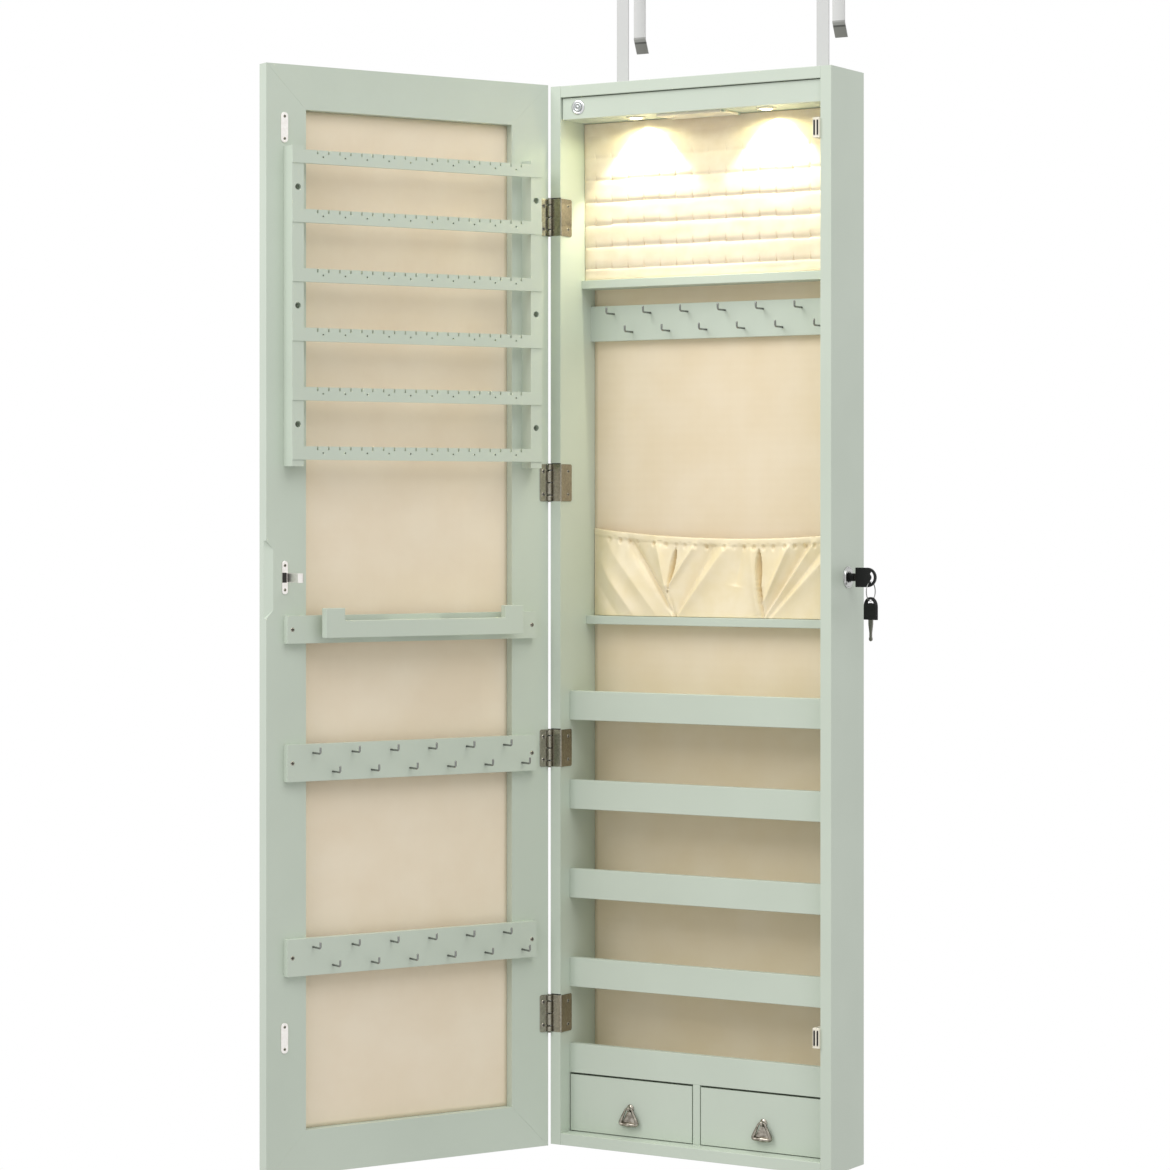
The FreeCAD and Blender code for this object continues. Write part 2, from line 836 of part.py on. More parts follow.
def lock_cam():
    """Hook cam on the plug's tail, drawn locked and turned back to its unlocked rest."""
    x = plug_back_x() - (plug_tail_l + cam_t) / 2
    cam = fuse([rod(cam_hub_r, lock_axis(x), RIGHT, cam_t),
                annular_sector(x, hook_in_r, hook_out_r, cam_start, cam_end, cam_t),
                annular_sector(x, plug_tail_r, hook_out_r, cam_end - cam_arm, cam_end, cam_t)])
    cam = cam.cut(rod(plug_tail_r, lock_axis(0), RIGHT, case_w))
    cam.rotate(lock_axis(0), RIGHT, lock_turn)
    return cam


def key_flat_x():
    """Where the key's head begins, outside the lock's nose."""
    return case_w + lock_flange_t + plug_nose_l + key_head_gap


def key_head():
    """Rounded head with a crescent slot; the blade leaves it along -X from the origin."""
    half = key_head_w / 2
    half_t = key_head_t / 2
    centre_x = key_head_l - half
    corners = [V(0, -half_t, -half), V(centre_x, -half_t, -half),
               V(centre_x, -half_t, half), V(0, -half_t, half)]
    rim = [line(corners[0], corners[1]), arc(corners[1], V(key_head_l, -half_t, 0), corners[2]),
           line(corners[2], corners[3]), line(corners[3], corners[0])]
    head = Part.Face(Part.Wire(rim)).extrude(BACK * key_head_t)

    def slot_point(radius, degrees):
        turn = math.radians(degrees)
        return V(centre_x + radius * math.cos(turn), -half_t, radius * math.sin(turn))
    outer, inner = key_slot_r + key_slot_w / 2, key_slot_r - key_slot_w / 2
    cap = math.degrees(key_slot_w / 2 / key_slot_r)
    a = key_slot_deg
    slot = [arc(slot_point(outer, -a), slot_point(outer, 0), slot_point(outer, a)),
            arc(slot_point(outer, a), slot_point(key_slot_r, a + cap), slot_point(inner, a)),
            arc(slot_point(inner, a), slot_point(inner, 0), slot_point(inner, -a)),
            arc(slot_point(inner, -a), slot_point(key_slot_r, -a - cap), slot_point(outer, -a))]
    return head.cut(Part.Face(Part.Wire(slot)).extrude(BACK * key_head_t))


def key_blade():
    """Flat blade that narrows to a neck and ends in a round tip."""
    wide, neck = key_blade_w / 2, key_neck_w / 2
    shoulder_x = -key_blade_l * key_shoulder
    neck_x = -key_blade_l * key_neck
    tip_x = -key_blade_l + key_tip_r
    y = -key_blade_t / 2
    outline = [V(0, y, -wide), V(shoulder_x, y, -wide), V(neck_x, y, -neck), V(tip_x, y, -neck),
               V(tip_x, y, neck), V(neck_x, y, neck), V(shoulder_x, y, wide), V(0, y, wide)]
    return fuse([prism(outline, BACK * key_blade_t), rod(key_tip_r, V(tip_x, y, 0), BACK, key_blade_t)])


def main_key():
    key = group([key_head(), key_blade()])
    key.translate(lock_axis(key_flat_x()))
    return key


def ring_top():
    """The wire's middle where the split ring passes through the lower end of the key's slot."""
    turn = math.radians(-key_slot_deg)
    centre_x = key_flat_x() + key_head_l - key_head_w / 2
    return V(centre_x + key_slot_r * math.cos(turn), lock_y, lock_z + key_slot_r * math.sin(turn))


def split_ring():
    return Part.makeTorus(split_ring_r, split_wire_r, ring_top() - UP * split_ring_r, RIGHT)


def spare_key():
    """The same key hanging by its slot from the ring, blade down."""
    key = group([key_head(), key_blade()])
    key.rotate(V(0, 0, 0), BACK, -90)
    centre = key_head_l - key_head_w / 2
    key.translate(ring_top() - UP * (2 * split_ring_r + key_slot_r + centre))
    return key


# ---- Drawers ----

def drawer_bays():
    return {"left": (inner_x0, middle_x - divider_t / 2), "right": (middle_x + divider_t / 2, inner_x1)}


def drawer_divider():
    return box(middle_x - divider_t / 2, middle_x + divider_t / 2, guard_y, lining_y, inner_z0, guard_low_z)


def drawer_front(bay):
    x0, x1 = bay
    front = box(x0 + drawer_side_gap, x1 - drawer_side_gap, guard_y, guard_y + drawer_front_t,
                inner_z0 + drawer_foot_gap, guard_low_z - drawer_head_gap)
    return front.cut(rod(screw_r, pull_point(bay, guard_y), BACK, drawer_front_t))


def drawer_tray(bay):
    """Two sides, a back and a floor glued behind the front."""
    x0, x1 = bay[0] + drawer_side_gap, bay[1] - drawer_side_gap
    y0, y1 = guard_y + drawer_front_t, lining_y - tray_back_gap
    z0 = inner_z0 + runner_gap
    z1 = z0 + tray_h
    floor_top = z0 + tray_floor
    return group([box(x0, x1, y0, y1, z0, floor_top),
                  box(x0, x0 + tray_wall, y0, y1, floor_top, z1),
                  box(x1 - tray_wall, x1, y0, y1, floor_top, z1),
                  box(x0 + tray_wall, x1 - tray_wall, y1 - tray_wall, y1, floor_top, z1)])


def pull_point(bay, y):
    return V((bay[0] + bay[1]) / 2, y, pull_z)


def bail_axis_y():
    return guard_y - post_out


def pull_post(bay):
    """Round foot and eye on the drawer's front, with its screw through the wood."""
    seat = pull_point(bay, guard_y)
    eye = rod(post_r, pull_point(bay, bail_axis_y()) - RIGHT * post_half, RIGHT, 2 * post_half)
    stem = box(seat.x - post_half, seat.x + post_half, bail_axis_y(), guard_y,
               pull_z - post_half, pull_z + post_half)
    foot = rod(post_foot_r, seat, BACK * -1, post_foot_t)
    shank = rod(screw_r, seat, BACK, drawer_front_t)
    bore = rod(bail_r + running_gap, pull_point(bay, bail_axis_y()) - RIGHT * bail_half, RIGHT, 2 * bail_half)
    return fuse([foot, stem, eye, shank]).cut(bore)


def bail(bay):
    """Triangular drop handle whose short top bar turns in the post's eye."""
    top = pull_point(bay, bail_axis_y())
    low = top - UP * bail_drop
    return closed_tube([top - RIGHT * bail_top_half, low - RIGHT * bail_half,
                        low + RIGHT * bail_half, top + RIGHT * bail_top_half], bail_bend, bail_r)


# ---- Over-door hangers ----

def hanger_seats():
    y = back_y + hanger_t
    low = fascia_z + ceiling_t + (inner_z1 - fascia_z - ceiling_t - hanger_screw_pitch) / 2
    return [V(x, y, low + s * hanger_screw_pitch) for x in hanger_places() for s in (0, 1)]


def hanger(x):
    """Steel strap: up from the batten, over the door leaf, down behind it, with a flared tail."""
    y0 = back_y
    y1 = y0 + hanger_t
    y2 = y1 + hanger_slot
    y3 = y2 + hanger_t
    top = case_h + hanger_rise
    under = top - hanger_t
    outer_r = hanger_bend + hanger_t
    foot = inner_z1 - hanger_root
    knee = case_h + hanger_straight
    tail = case_h + hanger_tail

    def p(y, z):
        return V(x - hanger_w / 2, y, z)

    def bend(before, corner, after, radius):
        return arc(*rounded_corner(before, corner, after, radius))
    outer_left = bend(p(y0, foot), p(y0, top), p(y3, top), outer_r)
    outer_right = bend(p(y0, top), p(y3, top), p(y3, foot), outer_r)
    inner_right = bend(p(y2, foot), p(y2, under), p(y1, under), hanger_bend)
    inner_left = bend(p(y2, under), p(y1, under), p(y1, foot), hanger_bend)
    edges = [line(p(y0, foot), p(y0, top - outer_r)), outer_left,
             line(p(y0 + outer_r, top), p(y3 - outer_r, top)), outer_right,
             line(p(y3, top - outer_r), p(y3, knee)),
             line(p(y3, knee), p(y3 + hanger_flare, tail)),
             line(p(y3 + hanger_flare, tail), p(y2 + hanger_flare, tail)),
             line(p(y2 + hanger_flare, tail), p(y2, knee)),
             line(p(y2, knee), p(y2, under - hanger_bend)), inner_right,
             line(p(y2 - hanger_bend, under), p(y1 + hanger_bend, under)), inner_left,
             line(p(y1, under - hanger_bend), p(y1, foot)), line(p(y1, foot), p(y0, foot))]
    strap = Part.Face(Part.Wire(edges)).extrude(RIGHT * hanger_w)
    return drilled(strap, hanger_seats(), BACK * -1)


def hanger_screws():
    """Flat-headed screws that stay below the case's back face."""
    solids = []
    for seat in hanger_seats():
        head = rod(screw_head_r, seat, BACK, (case_d - seat.y) / 2)
        solids.append(fuse([head, rod(screw_r, seat, BACK * -1, screw_l)]))
    return solids


def case_fasteners():
    hinge_screws = [screw(seat, RIGHT * -1) for z in hinge_heights for seat in case_leaf_seats(z)]
    catch_screws = [screw(seat, RIGHT) for seat in catch_seats()]
    return group(hinge_screws + catch_screws + hanger_screws() + [lock_nut()])


# ---- Door ----

def rebate():
    lap = member_w - rebate_lap
    return box(lap, case_w - lap, door_out_y - over, door_out_y + mirror_inset + mirror_t + lined_board_t,
               door_z + lap, door_z + door_h - lap)


def frame_member(corners):
    """One mitred member from its four corners in the XZ plane, rebated for the mirror."""
    points = [V(x, door_out_y, door_z + z) for x, z in corners]
    return prism(points, BACK * door_t).cut(rebate())


def finger_pull():
    """Bevelled scoop in the free edge with slanted ends."""
    edge_x, inner_x = case_w, case_w - pull_reach
    past_x = edge_x + over
    face = [V(past_x, door_in_y, pull_low), V(edge_x, door_in_y, pull_low),
            V(inner_x, door_in_y, pull_low + pull_slant), V(inner_x, door_in_y, pull_high - pull_slant),
            V(edge_x, door_in_y, pull_high), V(past_x, door_in_y, pull_high)]
    bevel = [V(past_x, door_in_y, pull_low), V(inner_x, door_in_y, pull_low),
             V(edge_x, door_in_y - pull_depth, pull_low), V(past_x, door_in_y - pull_depth, pull_low)]
    return prism(face, BACK * -pull_depth).common(prism(bevel, UP * (pull_high - pull_low)))


def door_members():
    w, h, m = case_w, door_h, member_w
    hinge_stile = frame_member([(0, 0), (m, m), (m, h - m), (0, h)])
    free_stile = frame_member([(w, 0), (w, h), (w - m, h - m), (w - m, m)])
    top_rail = frame_member([(0, h), (m, h - m), (w - m, h - m), (w, h)])
    bottom_rail = frame_member([(0, 0), (w, 0), (w - m, m), (m, m)])
    hinge_seats = [seat for z in hinge_heights for seat in door_leaf_seats(z)]
    left_seats = [seat for seat in fitting_seats() if seat.x < w / 2]
    right_seats = [seat for seat in fitting_seats() if seat.x > w / 2]
    hinge_stile = drilled(hinge_stile, hinge_seats, BACK * -1)
    hinge_stile = drilled(hinge_stile, rack_seats()[:rack_screw_count], BACK * -1, rack_screw_l)
    free_stile = drilled(free_stile.cut(finger_pull()), strike_seats(), BACK * -1)
    hinge_stile = drilled(hinge_stile, left_seats, BACK * -1, board_screw_l)
    free_stile = drilled(free_stile, right_seats, BACK * -1, board_screw_l)
    free_stile = drilled(free_stile, rack_seats()[rack_screw_count:], BACK * -1, rack_screw_l)
    return {"door_stile_hinge": hinge_stile, "door_stile_free": free_stile,
            "door_rail_top": top_rail, "door_rail_bottom": bottom_rail}


def mirror_sheet(y0, y1):
    lap = member_w - rebate_lap + glass_gap
    return box(lap, case_w - lap, y0, y1, door_z + lap, door_z + door_h - lap)


def door_mirror():
    y0 = door_out_y + mirror_inset
    return mirror_sheet(y0, y0 + mirror_t)


def door_lined_board():
    y0 = door_out_y + mirror_inset + mirror_t
    return mirror_sheet(y0, y0 + lined_board_t)


# ---- Earring rack ----

def stile_places():
    return (fitting_x, fitting_x + fitting_w - stile_w)


def rack_seats():
    """Screw seats at the bottom of the counterbores: the left stile's, then the right one's."""
    y = door_in_y + stile_d - counterbore_d
    return [V(x + stile_w / 2, y, rack_top_z - rack_screw_drop - 2 * k * earring_pitch)
            for x in stile_places() for k in range(rack_screw_count)]


def rail_tops():
    return [rack_top_z - earring_drop - k * earring_pitch for k in range(earring_rails)]


def earring_rail_slab(top):
    y1 = door_in_y + stile_d + earring_rail_proud
    return box(fitting_x, fitting_x + fitting_w, y1 - earring_rail_t, y1, top - earring_rail_h, top)


def earring_stiles():
    stiles = []
    for x in stile_places():
        stile = box(x, x + stile_w, door_in_y, door_in_y + stile_d, rack_top_z - stile_h, rack_top_z)
        stile = stile.cut([earring_rail_slab(top) for top in rail_tops()])
        stile = stile.cut([rod(counterbore_r, seat, BACK, counterbore_d + over) for seat in rack_seats()])
        stiles.append(drilled(stile, rack_seats(), BACK * -1, rack_screw_l))
    return group(stiles)


def earring_rail(top):
    """A rail with a row of notches for hooks and an eye under each pair of notches."""
    slab = earring_rail_slab(top)
    y0, y1 = slab.BoundBox.YMin - over, slab.BoundBox.YMax + over
    count = int((fitting_w - 2 * notch_end) / notch_pitch) + 1
    places = [fitting_x + notch_end + k * notch_pitch for k in range(count)]
    notches = [box(x - notch_w / 2, x + notch_w / 2, y0, y1, top - notch_d, top + over) for x in places]
    eyes = [rod(eye_r, V(x + notch_pitch / 2, y0, top - eye_drop), BACK, y1 - y0)
            for x in places[:-1:2]]
    return slab.cut(notches + eyes)


def earring_rail_set():
    return group([earring_rail(top) for top in rail_tops()])


# ---- Bracelet bar and hook strips ----

def backing(z, height):
    board = box(fitting_x, fitting_x + fitting_w, door_in_y, door_in_y + rail_t, z, z + height)
    return drilled(board, fitting_seats(), BACK * -1, board_screw_l)


def fitting_seats():
    """Two screws in each board that is fixed across the door."""
    y = door_in_y + rail_t
    middles = [bracelet_z + bracelet_h / 2] + [z + strip_h / 2 for z in strip_heights]
    ends = (fitting_x + strip_screw_inset, fitting_x + fitting_w - strip_screw_inset)
    return [V(x, y, z) for z in middles for x in ends]


def bracelet_board():
    y0 = door_in_y + rail_t
    middle = fitting_x + fitting_w / 2
    spacer = box(middle - spacer_w / 2, middle + spacer_w / 2, y0, y0 + bar_gap, bar_z, bar_z + bar_h)
    return group([backing(bracelet_z, bracelet_h), spacer])


def bracelet_bar():
    y0 = door_in_y + rail_t + bar_gap
    y1 = y0 + bar_t
    top = bar_z + bar_h + upstand_h
    return fuse([box(bar_x, bar_x + bar_w, y0, y1, bar_z, bar_z + bar_h),
                 box(bar_x, bar_x + upstand_w, y0, y1, bar_z, top),
                 box(bar_x + bar_w - upstand_w, bar_x + bar_w, y0, y1, bar_z, top)])


def strip_roots(z):
    y = door_in_y + rail_t - hook_root
    middle = z + strip_h / 2
    count = int((fitting_w - 2 * strip_end - strip_pitch / 2) / strip_pitch) + 1
    lower = [V(fitting_x + strip_end + k * strip_pitch, y, middle - hook_row_rise) for k in range(count)]
    upper = [root + V(strip_pitch / 2, 0, 2 * hook_row_rise) for root in lower]
    return lower + upper


def hook_strips():
    strips = []
    for z in strip_heights:
        strips.append(backing(z, strip_h).cut([hook_hole(root, BACK) for root in strip_roots(z)]))
    return group(strips)


def strip_hook_set():
    return group([hook(root, BACK) for z in strip_heights for root in strip_roots(z)])


# ---- Strikes ----

def strike_seats():
    """Screws of the two magnet strikes and of the lock strike."""
    y = door_in_y + strike_t
    seats = [V(strike_x, y, z + s * strike_screw_rise) for z in catch_heights for s in (-1, 1)]
    lock_x = tongue_x + (tongue_base_w + tongue_t) / 2
    lock_seats = [V(lock_x, door_in_y + tongue_t, lock_z + s * tongue_screw_rise) for s in (-1, 1)]
    return seats + lock_seats


def door_strikes():
    """Two steel plates for the magnets, and the lock's plate with its tongue and bent lip."""
    plates = [box(strike_x - strike_w / 2, strike_x + strike_w / 2, door_in_y, door_in_y + strike_t,
                  z - strike_h / 2, z + strike_h / 2) for z in catch_heights]
    tip_y = door_in_y + tongue_out
    low, high = lock_z - tongue_h / 2, lock_z + tongue_h / 2
    lock_plate = fuse([
        box(tongue_x, tongue_x + tongue_base_w, door_in_y, door_in_y + tongue_t,
            lock_z - tongue_base_h / 2, lock_z + tongue_base_h / 2),
        box(tongue_x, tongue_x + tongue_t, door_in_y, tip_y, low, high),
        box(tongue_x, tongue_x + tongue_t + tongue_lip, tip_y - tongue_t, tip_y, low, high)])
    return group([drilled(plate, strike_seats(), BACK * -1) for plate in plates + [lock_plate]])


def door_screws():
    hinge_screws = [screw(seat, BACK * -1) for z in hinge_heights for seat in door_leaf_seats(z)]
    strike_screws = [screw(seat, BACK * -1) for seat in strike_seats()]
    board_screws = [screw(seat, BACK * -1, board_screw_l) for seat in fitting_seats()]
    rack_screws = [screw(seat, BACK * -1, rack_screw_l) for seat in rack_seats()]
    return group(hinge_screws + strike_screws + board_screws + rack_screws)


# ---- Everything, by the body that carries it ----

def case_pieces():
    return {
        "side_panel_left": side_panel_left(), "side_panel_right": side_panel_right(),
        "top_panel": top_panel(), "bottom_panel": bottom_panel(),
        "back_panel": back_panel(), "back_lining": back_lining(), "hanging_batten": hanging_batten(),
        "light_fascia": light_fascia(), "light_ceiling": light_ceiling(),
        "led_lamps": led_lamps(), "battery_box": battery_box(), "battery_cells": battery_cells(),
        "led_wiring": led_wiring(), "switch_bezel": switch_bezel(),
        "ring_cushion": ring_cushion(), "pocket": pocket(),
        "shelf_upper": shelf(upper_shelf_y, upper_shelf_z),
        "shelf_middle": shelf(middle_shelf_y, middle_shelf_z),
        "guard_rails": guard_rails(), "bay_shelves": bay_shelves(),
        "necklace_rail": necklace_rail(), "necklace_hooks": necklace_hook_set(),
        "drawer_divider": drawer_divider(),
        "hinge_case_leaves": group([case_leaf(z) for z in hinge_heights]),
        "hinge_pins": group([hinge_pin(z) for z in hinge_heights]),
        "magnetic_catches": magnetic_catches(), "lock_barrel": lock_barrel(),
        "hanger_left": hanger(hanger_places()[0]), "hanger_right": hanger(hanger_places()[1]),
        "case_fasteners": case_fasteners()}


def door_pieces():
    pieces = door_members()
    pieces.update({
        "door_mirror": door_mirror(), "door_lined_board": door_lined_board(),
        "earring_stiles": earring_stiles(), "earring_rails": earring_rail_set(),
        "bracelet_board": bracelet_board(), "bracelet_bar": bracelet_bar(),
        "hook_strips": hook_strips(), "strip_hooks": strip_hook_set(),
        "door_strikes": door_strikes(), "door_screws": door_screws(),
        "hinge_door_leaves": group([door_leaf(z) for z in hinge_heights])})
    return pieces


def moving_pieces():
    pieces = {"lock_plug": lock_plug(), "lock_cam": lock_cam(), "main_key": main_key(),
              "split_ring": split_ring(), "spare_key": spare_key(),
              "switch_button": switch_button(), "battery_lid": battery_lid()}
    for side, bay in drawer_bays().items():
        pieces["drawer_" + side + "_front"] = drawer_front(bay)
        pieces["drawer_" + side + "_tray"] = drawer_tray(bay)
        pieces["drawer_" + side + "_post"] = pull_post(bay)
        pieces["drawer_" + side + "_bail"] = bail(bay)
    return pieces


def write(name, shape):
    """Move the piece so that zero is the centre of the case's back face, and save it."""
    placed = shape.copy()
    placed.translate(V(-case_w / 2, -case_d, -case_h / 2))
    placed.exportStep("parts/" + name + ".step")
    print(name, len(placed.Solids), placed.isValid())


os.makedirs("parts", exist_ok=True)
for name, shape in {**case_pieces(), **moving_pieces()}.items():
    write(name, shape)
for name, shape in door_pieces().items():
    swung = shape.copy()
    swung.rotate(V(0, hinge_y, 0), UP, -door_open)
    write(name, swung)
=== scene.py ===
import bmesh
import bpy
import math
from mathutils import Matrix, Vector, noise


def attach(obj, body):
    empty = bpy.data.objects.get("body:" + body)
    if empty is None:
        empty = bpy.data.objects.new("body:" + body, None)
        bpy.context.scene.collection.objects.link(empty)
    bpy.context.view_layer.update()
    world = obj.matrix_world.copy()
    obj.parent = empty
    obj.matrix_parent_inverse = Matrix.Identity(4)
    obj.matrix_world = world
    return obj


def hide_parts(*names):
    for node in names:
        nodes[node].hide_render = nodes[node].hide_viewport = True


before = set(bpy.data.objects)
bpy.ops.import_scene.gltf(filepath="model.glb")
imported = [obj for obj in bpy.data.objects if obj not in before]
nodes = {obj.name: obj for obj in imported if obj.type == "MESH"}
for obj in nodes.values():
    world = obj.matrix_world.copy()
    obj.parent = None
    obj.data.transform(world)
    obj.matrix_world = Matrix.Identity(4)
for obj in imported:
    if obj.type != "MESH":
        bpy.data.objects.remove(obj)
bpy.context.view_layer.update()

# ---- Studio ----
# A level camera, a little above the cabinet's middle, looks at the open door's inner face.
# White surroundings light everything softly, with two large softboxes high in front of it.

# Solved from the photograph's perspective: place in metres, turn in degrees, lens in millimetres
camera_place = (1.82267, -3.27255, 0.11436)
camera_turn = 31.468
camera_lens = 102.476
camera_shift = -0.06045
surround_strength = 0.61
softbox_size = 3.0
softbox_aim = Vector((0, 0, 0.1))
softboxes = (("softbox_left", (-1.5, -2.9, 2.8), 95), ("softbox_right", (2.3, -1.5, 3.0), 48))


def hex_colour(text):
    """An sRGB hex value as the linear colour that a shader takes."""
    parts = [int(text[k:k + 2], 16) / 255 for k in (1, 3, 5)]
    return tuple(c / 12.92 if c <= 0.04045 else ((c + 0.055) / 1.055) ** 2.4 for c in parts) + (1.0,)


def add_node(tree, kind, sockets=None, links=None, **settings):
    """One shader node with its settings, socket values and incoming links."""
    made = tree.nodes.new("ShaderNode" + kind)
    for name, value in settings.items():
        setattr(made, name, value)
    for name, value in (sockets or {}).items():
        made.inputs[name].default_value = value
    for name, source in (links or {}).items():
        tree.links.new(source, made.inputs[name])
    return made


scene = bpy.context.scene
scene.view_settings.view_transform = "Standard"
camera = bpy.data.objects.new("camera", bpy.data.cameras.new("camera"))
scene.collection.objects.link(camera)
camera.location = camera_place
camera.rotation_euler = (math.radians(90), 0, math.radians(camera_turn))
camera.data.lens = camera_lens
camera.data.shift_y = camera_shift
camera.data.clip_end = 60
scene.camera = camera

world = bpy.data.worlds.new("white_surroundings")
scene.world = world
world.use_nodes = True
sky = world.node_tree
sky.nodes.clear()
rays = add_node(sky, "LightPath")
seen = add_node(sky, "Math", links={0: rays.outputs["Is Camera Ray"], 1: rays.outputs["Is Glossy Ray"]},
                operation="MAXIMUM")
seen = add_node(sky, "Math", links={0: seen.outputs[0], 1: rays.outputs["Is Transmission Ray"]},
                operation="MAXIMUM")
lit = add_node(sky, "Background", {"Color": (1, 1, 1, 1), "Strength": surround_strength})
white = add_node(sky, "Background", {"Color": (1, 1, 1, 1), "Strength": 1.0})
both = add_node(sky, "MixShader", links={0: seen.outputs[0], 1: lit.outputs[0], 2: white.outputs[0]})
add_node(sky, "OutputWorld", links={"Surface": both.outputs[0]})

for name, place, watts in softboxes:
    panel = bpy.data.lights.new(name, "AREA")
    panel.shape = "DISK"
    panel.size = softbox_size
    panel.energy = watts
    softbox = bpy.data.objects.new(name, panel)
    softbox.location = place
    softbox.rotation_euler = (softbox_aim - softbox.location).to_track_quat("-Z", "Y").to_euler()
    scene.collection.objects.link(softbox)

# The floor is a white disc under the cabinet that fades out at its rim and keeps the soft shadow.
floor_centre = (0, -0.1, -0.80)
floor_radius = 1.0
fade_start, fade_end = 0.35, 0.95
disc = bmesh.new()
bmesh.ops.create_circle(disc, cap_ends=True, segments=96, radius=floor_radius)
bmesh.ops.translate(disc, verts=disc.verts, vec=floor_centre)
floor_mesh = bpy.data.meshes.new("floor")
disc.to_mesh(floor_mesh)
disc.free()
floor = bpy.data.objects.new("floor", floor_mesh)
scene.collection.objects.link(floor)
floor_paper = bpy.data.materials.new("white_paper_floor")
floor_paper.use_nodes = True
paper = floor_paper.node_tree
paper.nodes.clear()
spot = add_node(paper, "TexCoord")
spread = add_node(paper, "VectorMath", links={0: spot.outputs["Object"]}, operation="LENGTH")
fade = add_node(paper, "MapRange", {"From Min": fade_start, "From Max": fade_end},
                {"Value": spread.outputs["Value"]}, interpolation_type="SMOOTHSTEP")
sheet_white = add_node(paper, "BsdfDiffuse", {"Color": (0.94, 0.94, 0.94, 1)})
clear = add_node(paper, "BsdfTransparent")
blend = add_node(paper, "MixShader",
                 links={0: fade.outputs[0], 1: sheet_white.outputs[0], 2: clear.outputs[0]})
add_node(paper, "OutputMaterial", links={"Surface": blend.outputs[0]})
floor_mesh.materials.append(floor_paper)


# ---- Case: painted boards ----
# Side, top and bottom boards of 13 mm fibreboard, cut square, primed and sprayed with a satin
# sage-green lacquer. The sprayed coat rounds every edge a little and leaves a faint orange peel.

# Bench sizes in mm: x from the case's left side, y from its front edge, z from its foot
case_w, case_h, case_d = 356.0, 1196.0, 78.0
panel_t = 13.0
inner_left, inner_right = panel_t, case_w - panel_t
frame_origin = Vector((case_w / 2, case_d, case_h / 2))


def at(x, y, z):
    """A bench point in mm as a point of the frame, in metres."""
    return (Vector((x, y, z)) - frame_origin) / 1000


def new_finish(name, colour, roughness, metallic=0.0, sockets=None):
    """A material with its constants set on the shader's own sockets."""
    finish = bpy.data.materials.new(name)
    finish.use_nodes = True
    shader = finish.node_tree.nodes["Principled BSDF"]
    shader.inputs["Base Color"].default_value = hex_colour(colour)
    shader.inputs["Roughness"].default_value = roughness
    shader.inputs["Metallic"].default_value = metallic
    for socket, value in (sockets or {}).items():
        shader.inputs[socket].default_value = value
    return finish


def mottle(finish, colours, size_mm, detail=3.0):
    """Lets the colour drift between two near values over patches of a real size."""
    tree = finish.node_tree
    place = add_node(tree, "TexCoord")
    cloud = add_node(tree, "TexNoise", {"Scale": 1000 / size_mm, "Detail": detail},
                     {"Vector": place.outputs["Object"]})
    ramp = add_node(tree, "ValToRGB", links={"Fac": cloud.outputs[0]})
    for stop, share, colour in zip(ramp.color_ramp.elements, (0.35, 0.65), colours):
        stop.position = share
        stop.color = hex_colour(colour)
    tree.links.new(ramp.outputs[0], tree.nodes["Principled BSDF"].inputs["Base Color"])


def add_bump(finish, heights, height_mm, strength):
    """Raises the surface by a pattern, up to a real height."""
    tree = finish.node_tree
    bump = add_node(tree, "Bump", {"Strength": strength, "Distance": height_mm / 1000}, {"Height": heights})
    tree.links.new(bump.outputs[0], tree.nodes["Principled BSDF"].inputs["Normal"])


def grain_bump(finish, size_mm, height_mm, strength=1.0, detail=2.0):
    """A bump of fine grains of a real size and height."""
    place = add_node(finish.node_tree, "TexCoord")
    grain = add_node(finish.node_tree, "TexNoise", {"Scale": 1000 / size_mm, "Detail": detail},
                     {"Vector": place.outputs["Object"]})
    add_bump(finish, grain.outputs[0], height_mm, strength)


# Satin lacquer on fibreboard: an even coat with soft, wide reflections. Its orange peel is 1.5 mm
# across, drawn at 2.5 mm so that it shows.
lacquer = new_finish("sage_satin_lacquer", "#C6D0C2", 0.42, sockets={"IOR": 1.5})
mottle(lacquer, ("#C4CEC0", "#C8D2C4"), 140)
grain_bump(lacquer, 2.5, 0.03, 0.35)


def soften_edges(names, finish, edge_mm=0.5):
    """Gives boards their finish, and a small round wherever two faces meet at over 50 degrees."""
    for name in names:
        board = nodes[name]
        board.data.materials.clear()
        board.data.materials.append(finish)
        if "custom_normal" in board.data.attributes:
            board.data.attributes.remove(board.data.attributes["custom_normal"])
        board.data.shade_flat()
        board.modifiers.new("weld", "WELD").merge_threshold = 0.00001
        flat = board.modifiers.new("flat_faces", "DECIMATE")
        flat.decimate_type = "DISSOLVE"
        flat.angle_limit = math.radians(0.5)
        edge = board.modifiers.new("edge", "BEVEL")
        edge.width = edge_mm / 1000
        edge.segments = 2
        edge.limit_method = "ANGLE"
        edge.angle_limit = math.radians(50)


soften_edges(("side_panel_left", "side_panel_right", "top_panel", "bottom_panel"), lacquer)


# ---- Case back and its lining ----
# A thin hardboard closes the case at the back, smooth brown outside. Inside, a beige cotton
# flannel is glued over it, stretched flat, and shows its weave and slow ripples in the glue.

fascia_drop = 38.0
ceiling_z = case_h - fascia_drop     # underside of the light box
lining_w = inner_right - inner_left - 0.2
lining_h = ceiling_z - panel_t - 0.4
lining_face_y = 74.75

# Hardboard: hot-pressed wood fibre, brown and flecked, matt and faintly pitted.
hardboard = new_finish("brown_hardboard", "#8C6F50", 0.62)
mottle(hardboard, ("#846847", "#977A58"), 6, 6.0)
grain_bump(hardboard, 1.2, 0.05, 0.5)
soften_edges(("back_panel", "hanging_batten"), hardboard, 0.3)


